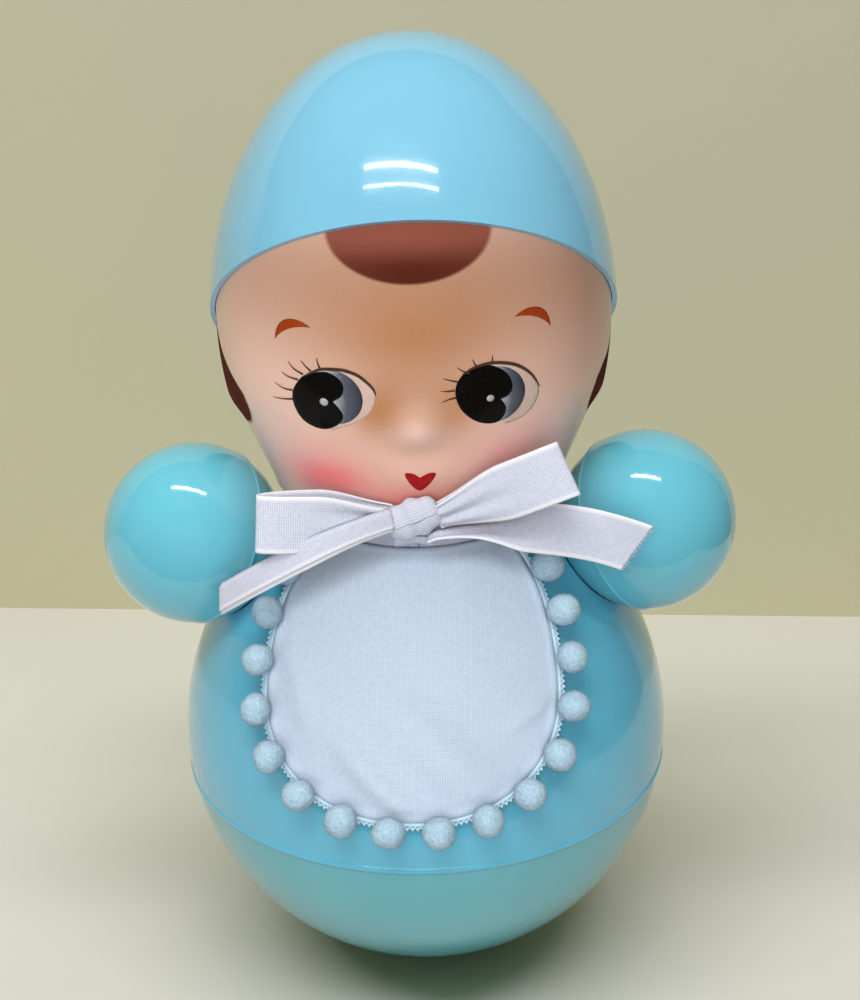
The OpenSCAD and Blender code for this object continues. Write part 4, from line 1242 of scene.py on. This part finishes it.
wall = dict(y=0.22, slope=-0.0926, left=-1.5, right=0.36, height=0.54, front=-0.19)
ends = [(wall[end], wall["y"] + wall["slope"] * wall[end]) for end in sides]
floorCorners = [(wall[end], wall["front"], 0) for end in sides] + [(*ends[1], 0), (*ends[0], 0)]
wallCorners = [(*ends[0], 0), (*ends[1], 0), (*ends[1], wall["height"]), (*ends[0], wall["height"])]
stageSheets = [buildSheet("floor", floorCorners, floorPaint), buildSheet("wall", wallCorners, wallPaint)]

world = bpy.data.worlds.new("studio")
scene.world = world
world.use_nodes = True
world.node_tree.nodes["Background"].inputs["Color"].default_value = (1.0, 0.98, 0.92, 1)
world.node_tree.nodes["Background"].inputs["Strength"].default_value = 0.15

armObjects = [nodes[name] for name in armShells]


lampAimZ = 0.13


def addLamp(name, at, width, depth, power, colour, only=(), without=(), mirrored=False, aimX=0):
    data = bpy.data.lights.new(name, "AREA")
    data.shape = "RECTANGLE"
    data.size = width
    data.size_y = depth
    data.energy = power
    data.color = colour
    lamp = addObject(name, data)
    lamp.location = at
    lamp.rotation_euler = (Vector((aimX, 0, lampAimZ)) - Vector(at)).to_track_quat("-Z", "Y").to_euler()
    lamp.visible_glossy = mirrored
    if only or without:  # the lamp lights these alone, or all but these
        receivers = bpy.data.collections.new(name + "Receivers")
        for each in only or without:
            receivers.objects.link(each)
        if without:
            for item in receivers.collection_objects:
                item.light_linking.link_state = "EXCLUDE"
        lamp.light_linking.receiver_collection = receivers


warmWhite = (1.0, 0.97, 0.91)
fillWhite = (1.0, 0.98, 0.95)
bibWhite = (1.0, 0.99, 0.97)
bounceWhite = (1.0, 0.8, 0.66)
stageWhite = (1.0, 0.97, 1.5)
facePieces = [bpy.data.objects[name] for name in ("face", "rightEye", "leftEye", "brows", "lips")]
bibCloth = [bpy.data.objects["bib"]]
dollSkips = stageSheets + facePieces
topSkips = dollSkips + bibCloth
tubeSkips = topSkips + armObjects
addLamp("tubeUpper", (-0.17, -1.20, 1.86), 1.5, 0.085, 7, warmWhite, without=tubeSkips, mirrored=True)
addLamp("tubeLower", (-0.17, -1.40, 1.62), 1.5, 0.06, 4.5, warmWhite, without=tubeSkips, mirrored=True)
addLamp("armTube", (-0.10, -0.36, 1.9), 1.3, 0.12, 9, warmWhite, only=armObjects, mirrored=True)
addLamp("overheadKey", (-0.3, -0.62, 1.75), 2.4, 0.35, 36, stageWhite, only=stageSheets, aimX=-0.3)
addLamp("overheadRoom", (0, -0.3, 2.2), 2.5, 2.5, 14, stageWhite, only=stageSheets)
addLamp("overheadDoll", (-0.2, -0.85, 1.55), 0.8, 0.5, 12, warmWhite, without=topSkips)
addLamp("frontFill", (-0.1, -1.3, 0.5), 1.4, 1.0, 15, fillWhite, without=dollSkips)
addLamp("faceFill", (-0.2, -1.1, 0.62), 1.3, 0.9, 15.5, fillWhite, only=facePieces)
addLamp("floorBounce", (-0.05, -0.7, 0.04), 1.2, 0.5, 1.0, bounceWhite, only=facePieces)
addLamp("bibKey", (-0.05, -0.8, 0.75), 0.35, 0.2, 6.0, bibWhite, only=bibCloth)
addLamp("bibFill", (-0.1, -1.0, 0.3), 1.6, 0.5, 3.2, bibWhite, only=bibCloth)
addLamp("ceilingBack", (0, 0.45, 1.7), 2.4, 0.8, 14, warmWhite, without=topSkips)

camera = dict(
    at=(0, -480.8433, 339.5013),
    forward=(0.00587531, 0.92559869, -0.37846076),
    right=(0.99954359, -0.01665103, -0.02520616),
    up=(0.02963255, 0.37813994, 0.92527407),
    lens=63.95,
)
cameraData = bpy.data.cameras.new("camera")
cameraData.sensor_fit = "AUTO"
cameraData.sensor_width = 36
cameraData.lens = camera["lens"]
cameraData.clip_start = 0.01
cameraData.dof.use_dof = False
viewer = addObject("camera", cameraData)
back = [-c for c in camera["forward"]]
turned = Matrix((camera["right"], camera["up"], back)).transposed().to_4x4()
viewer.matrix_world = Matrix.Translation([c * mm for c in camera["at"]]) @ turned
scene.camera = viewer
scene.view_settings.view_transform = "Standard"
print("stage: lights and camera set")
